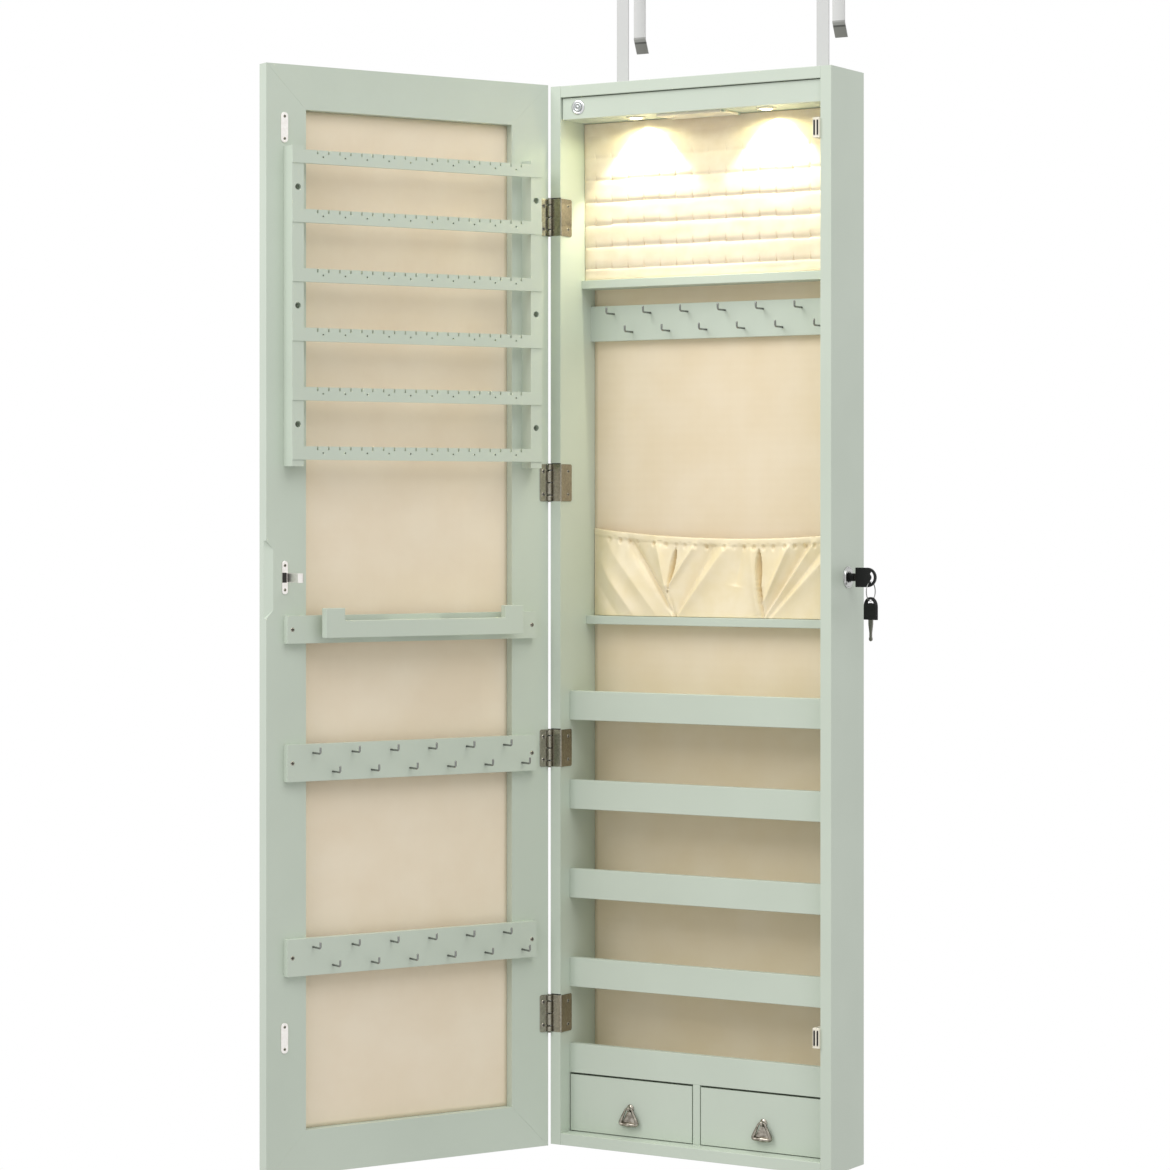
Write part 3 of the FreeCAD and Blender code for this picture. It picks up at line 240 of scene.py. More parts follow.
def add_weave(finish, thread_mm, height_mm, turn=0.0, strength=1.0, distortion=0.6):
    """Crossed threads, upright and level, as a bump. `turn` swings them into a turned plane."""
    tree = finish.node_tree
    place = add_node(tree, "TexCoord")
    swung = add_node(tree, "Mapping", {"Rotation": (0, 0, turn)}, {"Vector": place.outputs["Object"]})
    threads = {"Scale": 1000 / thread_mm / 20, "Distortion": distortion, "Detail": 2.0, "Detail Scale": 4.0}
    level, upright = [add_node(tree, "TexWave", threads, {"Vector": swung.outputs[0]}, bands_direction=way)
                      for way in ("X", "Z")]
    cross = add_node(tree, "Math", links={0: level.outputs["Fac"], 1: upright.outputs["Fac"]},
                     operation="ADD")
    add_bump(finish, cross.outputs[0], height_mm, strength)


def make_flannel(name, turn, colours):
    """Cotton flannel: a matt weave with a short nap. Its threads are 0.7 mm apart, drawn at 1.6 mm."""
    cloth = new_finish(name, colours[0], 0.92, sockets={"Sheen Weight": 0.15, "Sheen Roughness": 0.5})
    mottle(cloth, colours, 70, 5.0)
    add_weave(cloth, 1.6, 0.12, turn, 0.4)
    return cloth


# This copy of the flannel is a little darker and yellower than the door's, painted shade for the deep bays.
# The drawer trays take it too.
shaded_flannel = make_flannel("beige_flannel_painted_darker", 0.0, ("#ECDABB", "#F0E0C5"))


def make_piece(name, shape, finish, body, smooth=True):
    """A mesh that rides on a body. Its shape is points in the frame, in metres, and their faces."""
    verts, faces = shape
    mesh = bpy.data.meshes.new(name)
    mesh.from_pydata([tuple(v) for v in verts], [], faces)
    mesh.validate()
    mesh.materials.append(finish)
    if smooth:
        mesh.shade_smooth()
    made = bpy.data.objects.new(name, mesh)
    scene.collection.objects.link(made)
    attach(made, body)
    return made


def grid_faces(across, down):
    """Faces over a grid of points that are listed row by row."""
    row = across + 1
    corners = [j * row + i for j in range(down) for i in range(across)]
    return [(corner, corner + 1, corner + row + 1, corner + row) for corner in corners]


def cloth_grid(point, across, down):
    """A sheet's shape: point(i, j), with i and j from 0 to 1, over a grid of across by down steps."""
    verts = [point(i / across, j / down) for j in range(down + 1) for i in range(across + 1)]
    return verts, grid_faces(across, down)


def ripple(x, z, size_mm, seed):
    """A slow, smooth wave between -1 and 1."""
    return noise.noise(Vector((x / size_mm, z / size_mm, seed)))


def lining_point(i, j):
    """The cloth's face, with ripples of up to 0.12 mm where the glue took unevenly."""
    x, z = inner_left + 0.1 + lining_w * i, panel_t + 0.2 + lining_h * j
    return at(x, lining_face_y - 0.12 * ripple(x, z, 38, 3.1), z)


lining = make_piece("back_lining_cloth", cloth_grid(lining_point, 66, 230), shaded_flannel, "case")
lining.modifiers.new("cloth", "SOLIDIFY").thickness = 0.0003
lining.modifiers["cloth"].offset = -1
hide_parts("back_lining")


# ---- Light box ----
# A painted fascia hides a ceiling board with two warm LED lamps and a hinged battery cover between
# them. A chromed push switch sits at the fascia's left end.

lamp_shift, lamp_spacing, lamp_y = 3.0, 166.0, 24.0
button_x, button_drop, fascia_inset = 34.5, 25.0, 3.0

soften_edges(("light_fascia", "light_ceiling"), lacquer, 0.4)
# Moulded plastic: a smooth, low sheen over fine spark-eroded grain, cream or black in the mass.
cream_abs = new_finish("cream_moulded_abs", "#EFE9D8", 0.38, sockets={"IOR": 1.52})
mottle(cream_abs, ("#EDE6D4", "#F1ECDD"), 30)
grain_bump(cream_abs, 0.8, 0.02, 0.3)
soften_edges(("battery_lid",), cream_abs, 0.4)
black_abs = new_finish("black_moulded_plastic", "#0B0D0C", 0.5,
                       sockets={"IOR": 1.45, "Specular IOR Level": 0.3})
grain_bump(black_abs, 0.7, 0.02, 0.35)
soften_edges(("battery_box", "led_wiring"), black_abs, 0.2)
# Printed shrink sleeve over the cells: grey, with a dull metallic shine.
sleeve = new_finish("printed_cell_sleeve", "#6E7478", 0.3, 0.6)
mottle(sleeve, ("#666C70", "#7A8084"), 8)
soften_edges(("battery_cells",), sleeve, 0.2)
# Chrome plate: a clear, cold mirror with slight waves from the polished metal under it.
chrome = new_finish("bright_chrome_plate", "#D9DADB", 0.10, 1.0)
grain_bump(chrome, 1.5, 0.01, 0.25)


def cross_axes(axis):
    """Two directions square to an axis and to each other."""
    side = Vector((0, 0, 1)) if abs(axis.z) < 0.9 else Vector((1, 0, 0))
    first = axis.cross(side).normalized()
    return first, axis.cross(first).normalized()


def lathe(profile, origin, axis, sides=40, capped=True):
    """Turned shape: profile is (radius, height along the axis) in mm, from one end to the other."""
    first, second = cross_axes(axis)
    verts, faces = [], []
    for radius, height in profile:
        for k in range(sides):
            turn = 2 * math.pi * k / sides
            outward = first * math.cos(turn) + second * math.sin(turn)
            verts.append(origin + (axis * height + outward * radius) / 1000)
    for ring in range(len(profile) - 1):
        for k in range(sides):
            a, b = ring * sides + k, ring * sides + (k + 1) % sides
            faces.append((a, b, b + sides, a + sides))
    if capped:
        faces.append(tuple(range(sides))[::-1])
        faces.append(tuple((len(profile) - 1) * sides + k for k in range(sides)))
    return verts, faces


def gather(shapes):
    """Joins shapes whose faces each count their points from zero."""
    verts, faces = [], []
    for more, sides in shapes:
        base = len(verts)
        verts += more
        faces += [tuple(base + k for k in face) for face in sides]
    return verts, faces


right, front, up = Vector((1, 0, 0)), Vector((0, -1, 0)), Vector((0, 0, 1))
lamp_seats = [at(case_w / 2 + lamp_shift + side * lamp_spacing / 2, lamp_y, ceiling_z) for side in (-1, 1)]
housing = [(9, -9), (9, 0), (10.9, 0), (10.95, 0.8), (10.4, 1.4), (8.6, 1.5), (7.2, 1.1), (6.6, 0.7),
           (6.5, -1)]
lamps = make_piece("lamp_housings", gather([lathe(housing, seat, -up) for seat in lamp_seats]),
                   cream_abs, "case")
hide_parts("led_lamps")
# Frosted plastic lens, lit from behind: one bright, warm, even spot.
lit_lens = new_finish("glowing_lens", "#FFF6DC", 0.3,
                      sockets={"Emission Color": hex_colour("#FFF0C4"), "Emission Strength": 9.0})
lens = [(6.4, 0.2), (6.4, 1.2), (5.6, 1.9), (4.0, 2.3), (2.0, 2.5), (0.2, 2.5)]
make_piece("lamp_lenses", gather([lathe(lens, seat, -up) for seat in lamp_seats]),
           lit_lens, "case")

# Each lamp throws a crisp cone on the cushion close behind it, in a weak warm glow all round:
# watts, tint, spread and tilt in degrees, and metres behind the lamp's middle.
lamp_lights = {"beam": (1.2, "#FFFAE0", 98, 21, 0.009), "glow": (0.19, "#FCFFCE", 168, 0, 0.0)}
cone_blur = 0.30
source_radius = 0.003
source_drop = 0.0035
for k, seat in enumerate(lamp_seats):
    for name, (watts, tint, spread, tilt, behind) in lamp_lights.items():
        light = bpy.data.lights.new("led_%s_%d" % (name, k), "SPOT")
        light.energy = watts
        light.color = hex_colour(tint)[:3]
        light.spot_size = math.radians(spread)
        light.spot_blend = cone_blur
        light.shadow_soft_size = source_radius
        lamp = bpy.data.objects.new(light.name, light)
        lamp.location = seat + Vector((0, behind, -source_drop))
        lamp.rotation_euler = (math.radians(tilt), 0, 0)
        scene.collection.objects.link(lamp)

switch_place = at(button_x, fascia_inset, case_h - button_drop)
bezel = [(5.08, -16), (5.08, 0.2), (5.4, 0.9), (6.3, 1.2), (7.6, 1.15), (8.3, 0.7), (8.5, 0), (6.5, 0),
         (6.5, -17)]
switch_rim = make_piece("switch_rim", lathe(bezel, switch_place, front, capped=False),
                        chrome, "case")
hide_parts("switch_bezel")
button = [(5.0, -12), (5.0, 1.2), (4.7, 1.8), (4.0, 2.0), (2.5, 1.85), (2.3, 1.5), (1.9, 1.5), (1.7, 1.8),
          (0.2, 1.85)]
# Satin nickel plate on the button: brushed fine, so that it greys and blurs what it mirrors.
satin_nickel = new_finish("satin_nickel_cap", "#B4B7B8", 0.28, 1.0)
grain_bump(satin_nickel, 0.9, 0.01, 0.3)
cap = make_piece("switch_cap", lathe(button, switch_place, front), satin_nickel, "switch_button")
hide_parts("switch_button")


# ---- Ring cushion ----
# Foam rods side by side under cream velvet. The cloth is glued down in the grooves, where short
# cuts every 21 mm let rings in, so each roll swells between them and is pinched at its ends.

upper_shelf_drop, shelf_t = 226.5, 9.5
shelf_top = case_h - upper_shelf_drop + shelf_t
cushion_first, cushion_pitch = 13.5, 25.2
roll_left, roll_right = inner_left + 0.4, inner_right - 0.4
crown_y, lean = 50.6, 0.2                  # each roll lies this much behind the one above it
cushion_back_y = 74.6
# How deep the cloth is pulled in over each roll, in mm: the upper rolls are stretched nearly flat.
roll_depths = [1.8, 2.1, 2.1, 2.0, 1.8, 1.1, 0.6, 0.4]
last_roll = len(roll_depths) - 1
grooves = [shelf_top + 0.1] + [shelf_top + cushion_first + cushion_pitch * k for k in range(last_roll)]
grooves.append(ceiling_z - 0.4)
slits = [28.0 + 21.2 * k for k in range(15)]
roll_steps = 16

# Columns of points stand every 4.7 mm, and closer beside each slit and at both ends.
columns = {roll_left, roll_right, roll_left + 1.5, roll_left + 3, roll_right - 1.5, roll_right - 3}
columns |= {roll_left + 4.7 * k for k in range(1, 70)}
columns |= {slit + step for slit in slits for step in (-1.4, -0.8, -0.45, -0.2, 0, 0.2, 0.45, 0.8, 1.4)}
columns = sorted(x for x in columns if roll_left <= x <= roll_right)
columns = [x for k, x in enumerate(columns) if k == 0 or x - columns[k - 1] > 0.12 or x == roll_right]

# Short-pile velvet: matt, with a soft light rim where it turns away. The pile's grain is 0.3 mm,
# drawn at 0.9 mm.
velvet = new_finish("cream_ring_velvet", "#F3E3C9", 0.85,
                    sockets={"Sheen Weight": 0.3, "Sheen Roughness": 0.35})
mottle(velvet, ("#F0DFC3", "#F6E7CF"), 16, 6.0)
grain_bump(velvet, 0.9, 0.08, 0.5, 4.0)


def groove_jump(x, groove):
    """How far a groove steps out of line between two slits. The cushion's own edges run straight."""
    if groove in (0, len(grooves) - 1):
        return 0
    panel = sum(1 for slit in slits if x > slit)
    return 0.9 * noise.noise(Vector((panel * 1.7, groove * 5.3, 0.5)))


def roll_point(x, j):
    """The cushion's front: rolls crowned between grooves, and drawn in at the slits and the ends."""
    roll = min(j // roll_steps, last_roll)
    t = j / roll_steps - roll
    rise = (grooves[roll + 1] - grooves[roll]) * t
    swell = max(1 - abs(2 * t - 1) ** 5, 0) ** 0.6
    end = min(1.0, min(x - roll_left, roll_right - x) / 5.0)
    swell *= 0.5 + 0.5 * math.sin(end * math.pi / 2)
    from_slit = min(abs(x - slit) for slit in slits)
    slitted = 0 < roll < last_roll
    cut = math.exp(-(from_slit / 0.4) ** 2) * max(0, 1 - rise / 7.5) * slitted
    gape = math.exp(-(from_slit / 1.6) ** 2) * max(0, 1 - rise / 9.0) * slitted
    wave = 0.5 * noise.noise(Vector((x / 34, roll * 3.3, t * 1.5))) * math.sin(math.pi * t)
    depth = roll_depths[roll]
    y = crown_y + lean * (last_roll - roll) + depth * (1 - swell) + min(depth, 2.4) * cut + 0.4 * gape - wave
    return at(x, y, grooves[roll] + rise + groove_jump(x, roll) * (1 - t) + groove_jump(x, roll + 1) * t)


row, rows = len(columns), roll_steps * len(roll_depths) + 1
verts = [roll_point(x, j) for j in range(rows) for x in columns]
faces = grid_faces(row - 1, rows - 1)
# A flat back closes the cushion, with its foot, its top and its two ends.
base, top = len(verts), (rows - 1) * row
verts += [at(x, cushion_back_y, z) for z in (grooves[0], grooves[-1]) for x in columns]
faces += [(i + 1, i, base + i, base + i + 1) for i in range(row - 1)]
faces += [(top + i, top + i + 1, base + row + i + 1, base + row + i) for i in range(row - 1)]
faces += [(base + i, base + row + i, base + row + i + 1, base + i + 1) for i in range(row - 1)]
faces.append(tuple(j * row for j in range(rows)) + (base + row, base))
faces.append(tuple(j * row + row - 1 for j in range(rows))[::-1] + (base + row - 1, base + 2 * row - 1))
rolls = make_piece("ring_rolls", (verts, faces), velvet, "case")
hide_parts("ring_cushion")


# ---- Shelves, rails and bays ----
# Painted fibreboard strips and shelves, glued and pinned between the side boards. The guard rails
# keep things on the bay shelves from falling out.

soften_edges(("shelf_upper", "shelf_middle", "guard_rails", "bay_shelves", "necklace_rail", "drawer_divider"),
             lacquer, 0.5)


# ---- Necklace hooks ----
# Twelve L-shaped hooks in two staggered rows, each bent from 2.2 mm nickel-plated wire with a
# rounded tip and set 5 mm deep in the necklace rail.

hook_r, hook_root, hook_out, hook_up, hook_bend = 1.1, 5.0, 17.0, 7.0, 2.2
rail_front_y = 66.0
necklace_gap, necklace_h = 19.2, 40.0
rail_middle_z = case_h - upper_shelf_drop - necklace_gap - necklace_h / 2
first_hook_x, necklace_pitch, necklace_stagger, hook_row_rise = 44.0, 48.3, 24.3, 10.5


def sweep(points, radii, sides=12, closed=False):
    """A wire of changing radius, in mm, along points in the frame."""
    verts, faces = [], []
    count = len(points)
    side_up = None
    for k, point in enumerate(points):
        before, after = points[(k - 1) % count], points[(k + 1) % count]
        if not closed:
            before, after = points[max(k - 1, 0)], points[min(k + 1, count - 1)]
        along = (after - before).normalized()
        if side_up is None:
            side_up = cross_axes(along)[0]
        side_up = (side_up - along * side_up.dot(along)).normalized()
        side = along.cross(side_up)
        for s in range(sides):
            turn = 2 * math.pi * s / sides
            verts.append(point + (side_up * math.cos(turn) + side * math.sin(turn)) * radii[k] / 1000)
    for k in range(count if closed else count - 1):
        for s in range(sides):
            a, b = k * sides + s, k * sides + (s + 1) % sides
            c, d = (b + sides) % (count * sides), (a + sides) % (count * sides)
            faces.append((a, b, c, d))
    if not closed:
        faces.append(tuple(range(sides))[::-1])
        faces.append(tuple((count - 1) * sides + s for s in range(sides)))
    return verts, faces


def hook_shape(root, outward):
    """A hook from its root in the wood: straight out, round the bend and up to a domed tip."""
    tip = root + outward * (hook_root + hook_out) / 1000
    points, radii = [root], [hook_r]
    for k in range(7):
        turn = math.pi / 2 * k / 6
        short, rise = hook_bend * (1 - math.sin(turn)), hook_bend * (1 - math.cos(turn))
        points.append(tip + (up * rise - outward * short) / 1000)
        radii.append(hook_r)
    for height, radius in ((4.0, hook_r), (hook_up - 0.8, hook_r), (hook_up - 0.3, 0.9), (hook_up, 0.5)):
        points.append(tip + up * height / 1000)
        radii.append(radius)
    return sweep(points, radii)


# Nickel-plated drawn wire with faint drawing marks. Its mirror colour is painted a darker grey, a painted
# reflection of darker surroundings.
hook_wire_painted_dark = new_finish("nickel_hook_wire_painted_dark", "#8B8C8A", 0.22, 1.0)
grain_bump(hook_wire_painted_dark, 0.8, 0.02, 0.4)
roots = [at(first_hook_x + necklace_pitch * k + shift, rail_front_y + hook_root, rail_middle_z + rise)
         for shift, rise in ((0, hook_row_rise), (necklace_stagger, -hook_row_rise)) for k in range(6)]
necklace_hooks = make_piece("necklace_hook_wires", gather([hook_shape(root, front) for root in roots]),
                            hook_wire_painted_dark, "case")
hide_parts("necklace_hooks")


# ---- Gathered pocket ----
# Cream satin, cut a little wider than the case, with elastic in its hem. It is sewn down at two
# seams, so folds fan out from the foot of each seam, and the slack makes a dark leaf beside it.

middle_shelf_z = 587.0
pocket_foot = middle_shelf_z + shelf_t + 0.4
pocket_left, pocket_right = inner_left + 0.4, inner_right - 0.4
pocket_back_y = 74.2
soft_gap = 0.3             # air between the hem's ends and the side boards
hem_left_h, hem_low_h, hem_right_h = 100, 80, 94
hem_tall = 8.5
gather_pitch = 12.6
# Folds, in mm along the case and above the shelf: from, to, half-width at each end, and how far
# the cloth comes forward (or, below zero, falls back)
folds = [(128, 0, 64, 90, 1.5, 5, -6.72), (124, 4, 100, 92, 2.5, 9, 5.76), (128, 2, 118, 30, 1.2, 2.5, -3.2),
         (121, 36, 158, 90, 2.5, 5, 4.8), (130, 2, 178, 88, 3, 10, -6.08), (133, 2, 196, 84, 3.5, 12, 5.44),
         (240, 1, 236, 30, 1.2, 2.5, -6.4), (243, 20, 276, 90, 2.5, 6, 5.12), (243, 4, 298, 90, 2.5, 7, -6.4),
         (245, 3, 306, 90, 2.2, 5, 4.8), (250, 3, 312, 76, 3, 5, -3.84), (254, 3, 330, 80, 4, 10, 3.52),
         (76, 0, 27, 58, 9, 9, 4.16), (52, 0, 16, 40, 8, 8, -3.84), (104, 2, 40, 76, 8, 12, 2.88),
         (233, 10, 222, 80, 5, 9, 3.84), (205, 40, 212, 88, 7, 7, -2.24)]
# Leaves of slack beside the seams: foot, head, where the head is, widest half-width
leaves = [(118.0, 27.0, 126.5, 78.0, 2.7), (236.0, 16.0, 233.0, 77.0, 3.2)]

# Polyester satin: tight, smooth threads with a soft shine. They are 0.2 mm apart, drawn at 1.1 mm.
satin = new_finish("cream_pocket_satin", "#F1E2BE", 0.31,
                   sockets={"IOR": 1.5, "Sheen Weight": 0.15, "Sheen Roughness": 0.3})
mottle(satin, ("#EFDFB8", "#F4E6C6"), 25, 3.0)
add_weave(satin, 1.1, 0.02, 0.0, 0.3, 0.3)


def hem_height(x):
    """The sagging elastic: high at both ends, lowest a little right of the middle."""
    t = (x - inner_left - soft_gap) / (inner_right - inner_left - 2 * soft_gap)
    return hem_left_h * (1 - t) * (1 - t) + 2 * hem_low_h * t * (1 - t) + hem_right_h * t * t


def fold_relief(x, h):
    """How far all the folds together bring the cloth forward."""
    relief = 0.0
    for x0, h0, x1, h1, narrow, wide, amount in folds:
        length = math.hypot(x1 - x0, h1 - h0)
        along = ((x - x0) * (x1 - x0) + (h - h0) * (h1 - h0)) / length
        across = ((x - x0) * (h1 - h0) - (h - h0) * (x1 - x0)) / length
        t = along / length
        if -0.1 < t < 1.15:
            width = narrow + (wide - narrow) * min(max(t, 0), 1)
            taper = math.sin(math.pi * min(max((t + 0.1) / 1.25, 0), 1)) ** 0.5
            relief += amount * taper * math.exp(-abs(across / width) ** 1.3)
    return relief


def hem_gathers(x, under_hem):
    """Puckers that the elastic pulls in just under the hem, and their soft run-out below."""
    if under_hem <= -3:
        return 0.0
    drift = 3.4 * noise.noise(Vector((x / 37, 1.0, 0)))
    pucker = 0.5 + 0.5 * math.cos(2 * math.pi * x / gather_pitch + drift)
    pinch = max(0.0, 0.75 + 1.6 * noise.noise(Vector((x / 19, 4.0, 0))))
    drawn_in = -4.4 * pinch * pucker ** 5 * math.exp(-((under_hem - 1.2) / 2.6) ** 2)
    return drawn_in + 1.3 * pinch * (pucker - 0.5) * math.exp(-max(under_hem, 0) / 11)


def pocket_point(i, j):
    """The pocket's front: a shallow bag with its folds, its leaves, and a padded hem at the top."""
    x = pocket_left + (pocket_right - pocket_left) * i
    top = hem_height(x)
    h = j * top
    under_hem = top - h - hem_tall
    body = 1 / (1 + math.exp(-under_hem / 1.2))
    end = math.sin(math.pi / 2 * min(1.0, min(x - pocket_left, pocket_right - x) / 38))
    depth = (15.0 - 6.0 * h / top) * end
    depth += fold_relief(x, h) * end * (0.25 + 0.75 * body)
    for x0, low, x1, high, half in leaves:
        t = (h - low) / (high - low)
        if 0 < t < 1:
            width = half * math.sin(math.pi * t ** 1.5) ** 0.75
            inside = abs(x - x0 - (x1 - x0) * t) / max(width, 0.2)
            depth -= (depth - 0.7) * math.exp(-inside ** 8)
    depth += hem_gathers(x, under_hem) * end
    depth += 1.3 * (1 - body) * max(1 - ((h - top + hem_tall / 2) / (hem_tall / 2 + 0.4)) ** 6, 0)
    return at(x, pocket_back_y - max(depth, 0.5), pocket_foot + h)


pocket = make_piece("pocket_satin_front", cloth_grid(pocket_point, 330, 104), satin, "case")
pocket.modifiers.new("cloth", "SOLIDIFY").thickness = 0.0005
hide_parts("pocket")


# ---- Drawers and their pulls ----
# Two small fibreboard drawers, lined with the same flannel. Each has a cast zinc pull, nickel
# plated: a round foot and eye with a triangular drop handle that swings in it.

divider_t = 9.0
drawer_front_y = 20.0
pull_z, pull_out = 45.5, 4.5
drawer_middles = (("left", (inner_left + case_w / 2 - divider_t / 2) / 2),
                  ("right", (inner_right + case_w / 2 + divider_t / 2) / 2))
handle_corners = [Vector((-3.6, 0.3)), Vector((-11.8, -17.6)), Vector((11.8, -17.6)), Vector((3.6, 0.3))]
handle_rounds = (2.6, 3.6, 3.6, 2.6)

soften_edges(("drawer_left_front", "drawer_right_front"), lacquer, 0.6)
soften_edges(("drawer_left_tray", "drawer_right_tray"), shaded_flannel, 0.3)
# Cast zinc, tumbled and nickel plated: bright on its edges, darker and a little lumpy elsewhere.
cast_nickel = new_finish("cast_nickel_pull", "#979186", 0.24, 1.0)
mottle(cast_nickel, ("#7C766C", "#ADA79C"), 3.0)
grain_bump(cast_nickel, 0.8, 0.05, 0.5)


def plate_shape(outline, hole, thick, edge_mm, place):
    """A flat piece from its outline, with an optional hole and rounded edges."""
    made = bmesh.new()
    for loop in (outline, hole):
        if loop:
            corners = [made.verts.new((x, -thick / 2, z)) for x, z in loop]
            for a, b in zip(corners, corners[1:] + corners[:1]):
                made.edges.new((a, b))
    bmesh.ops.triangle_fill(made, edges=made.edges[:], use_beauty=True)
    bmesh.ops.dissolve_limit(made, angle_limit=0.01, verts=made.verts[:], edges=made.edges[:])
    moved = bmesh.ops.extrude_face_region(made, geom=made.faces[:])
    far_side = [v for v in moved["geom"] if isinstance(v, bmesh.types.BMVert)]
    bmesh.ops.translate(made, verts=far_side, vec=(0, thick, 0))
    bmesh.ops.recalc_face_normals(made, faces=made.faces[:])
    sharp = [e for e in made.edges if len(e.link_faces) == 2 and e.calc_face_angle(0) > 1.0]
    bmesh.ops.bevel(made, geom=sharp, offset=edge_mm, segments=2, affect="EDGES", profile=0.5)
    verts = [place(v.co) for v in made.verts]
    made.verts.index_update()
    faces = [tuple(v.index for v in f.verts) for f in made.faces]
    made.free()
    return verts, faces


def handle_line():
    """The drop handle's middle line, a triangle with its top cut off and its corners rounded."""
    line = []
    for k, corner in enumerate(handle_corners):
        last, following = handle_corners[k - 1], handle_corners[(k + 1) % 4]
        into, out = (corner - last).normalized(), (following - corner).normalized()
        for step in range(7):
            t = step / 6
            line.append((corner - into * handle_rounds[k]) * (1 - t) ** 2 + corner * 2 * t * (1 - t)
                        + (corner + out * handle_rounds[k]) * t ** 2)
        line += [corner.lerp(following, t) for t in (0.35, 0.5, 0.65)]
    return line


def handle_radius(point):
    """The wire thickens downwards, and its lower bar bulges once more at the middle."""
    bulge = 0.9 * math.exp(-(point.x / 3.2) ** 2) if point.y < -15 else 0
    return 1.15 + 0.95 * min(1.0, max(0.0, -point.y - 2) / 12) + bulge


foot = [(4.4, 0), (4.5, 0.6), (4.1, 1.2), (3.0, 1.5), (2.2, 2.2), (1.9, 3.4), (2.0, 4.6), (2.4, 5.4),
        (1.6, 6.3), (0.2, 6.8)]
eye = [(1.28, -1.8), (2.4, -1.8), (2.8, -1.3), (2.8, 1.3), (2.4, 1.8), (1.28, 1.8)]
web_outline = [(-2.2, -3.4), (-9.6, -17.0), (9.6, -17.0), (2.2, -3.4)]
for side, x in drawer_middles:
    eye_y = drawer_front_y - pull_out
    foot_shape = lathe(foot, at(x, drawer_front_y, pull_z), front)
    eye_shape = lathe(eye, at(x, eye_y, pull_z), right)
    post = make_piece("pull_foot_" + side, gather([foot_shape, eye_shape]),
                      cast_nickel, "drawer_" + side)
    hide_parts("drawer_%s_post" % side)
    line = handle_line()
    ring = sweep([at(x + p.x, eye_y, pull_z + p.y) for p in line],
                 [handle_radius(p) for p in line], closed=True)
    web_place = at(x, eye_y + 1.1, pull_z)
    web = plate_shape(web_outline, None, 0.8, 0.2, lambda point: web_place + point / 1000)
    handle = make_piece("pull_drop_" + side, gather([ring, web]), cast_nickel, "bail_" + side)
    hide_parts("drawer_%s_bail" % side)


# ---- Hinges ----
# Four butt hinges pressed from 1 mm steel and nickel plated, which has dulled to a warm grey.
# The case leaf is let into the board's edge, and the knuckles turn on a headed pin.

door_turn = math.radians(-116.2)
pin_y = -2.7                                # half of the gap between the case and the shut door
hinge_heights = (148, 448, 748, 1048)
leaf_half, leaf_t = 21, 1
case_leaf_reach, door_leaf_reach = 23, 11.3
barrel_r, pin_head_r = 2.6, 2.2
case_knuckles, door_knuckles = ((14, 21), (-14, 0)), ((0, 14), (-21, -14))

# Nickel plate on pressed steel, dulled: warm grey, with blurred highlights and faint blotches.
dull_nickel = new_finish("dulled_nickel_plate", "#9B978B", 0.24, 1.0)
mottle(dull_nickel, ("#918D81", "#A5A195"), 2.5, 4.0)
grain_bump(dull_nickel, 0.8, 0.03, 0.4)
# Painted shadow for recesses and gaps: a near-black colour that stands for the shade where hardly any light
# reaches.
recess_shadow = new_finish("painted_recess_shadow", "#211F1C", 0.7)
grain_bump(recess_shadow, 0.5, 0.02, 0.4)


def on_door(u, p, z):
    """A point u mm from the door's hinge edge and p mm into the case from its inner face."""
    return at(0, pin_y, z) + Matrix.Rotation(door_turn, 3, "Z") @ Vector((u, p + pin_y, 0)) / 1000


def rounded_block(x0, x1, y0, y1, z0, z1, edge_mm, place=at):
    """A block with rounded edges between two corners."""
    made = bmesh.new()
    bmesh.ops.create_cube(made, size=1)
    bmesh.ops.scale(made, verts=made.verts, vec=(x1 - x0, y1 - y0, z1 - z0))
    bmesh.ops.translate(made, verts=made.verts, vec=((x0 + x1) / 2, (y0 + y1) / 2, (z0 + z1) / 2))
    bmesh.ops.bevel(made, geom=made.edges[:], offset=edge_mm, segments=2, affect="EDGES", profile=0.5)
    made.verts.index_update()
    verts = [place(*v.co) for v in made.verts]
    faces = [tuple(v.index for v in f.verts) for f in made.faces]
    made.free()
    return verts, faces


def rounded_outline(x0, x1, z0, z1, radius, corners="0123"):
    """A rectangle's outline with some of its corners rounded, from the lower left one on."""
    points = []
    for k, (x, z, turn) in enumerate(((x0, z0, 180), (x1, z0, 270), (x1, z1, 0), (x0, z1, 90))):
        if str(k) in corners:
            centre = (x + (radius if x == x0 else -radius), z + (radius if z == z0 else -radius))
            for step in range(5):
                angle = math.radians(turn + 90 * step / 4)
                points.append((centre[0] + radius * math.cos(angle), centre[1] + radius * math.sin(angle)))
        else:
            points.append((x, z))
    return points


def hinge_barrel(z, low, high):
    """One knuckle with chamfered ends, so that the painted shadow on the pin inside shows as a dark joint
    between it and the next.
    """
    tall = high - low - 0.8
    profile = [(0.2, 0), (1.7, 0), (2.4, 0.4), (barrel_r, 1.0), (barrel_r, tall - 1.0), (2.4, tall - 0.4),
               (1.7, tall), (0.2, tall)]
    return lathe(profile, at(0, pin_y, z + low + 0.4), up, 28)


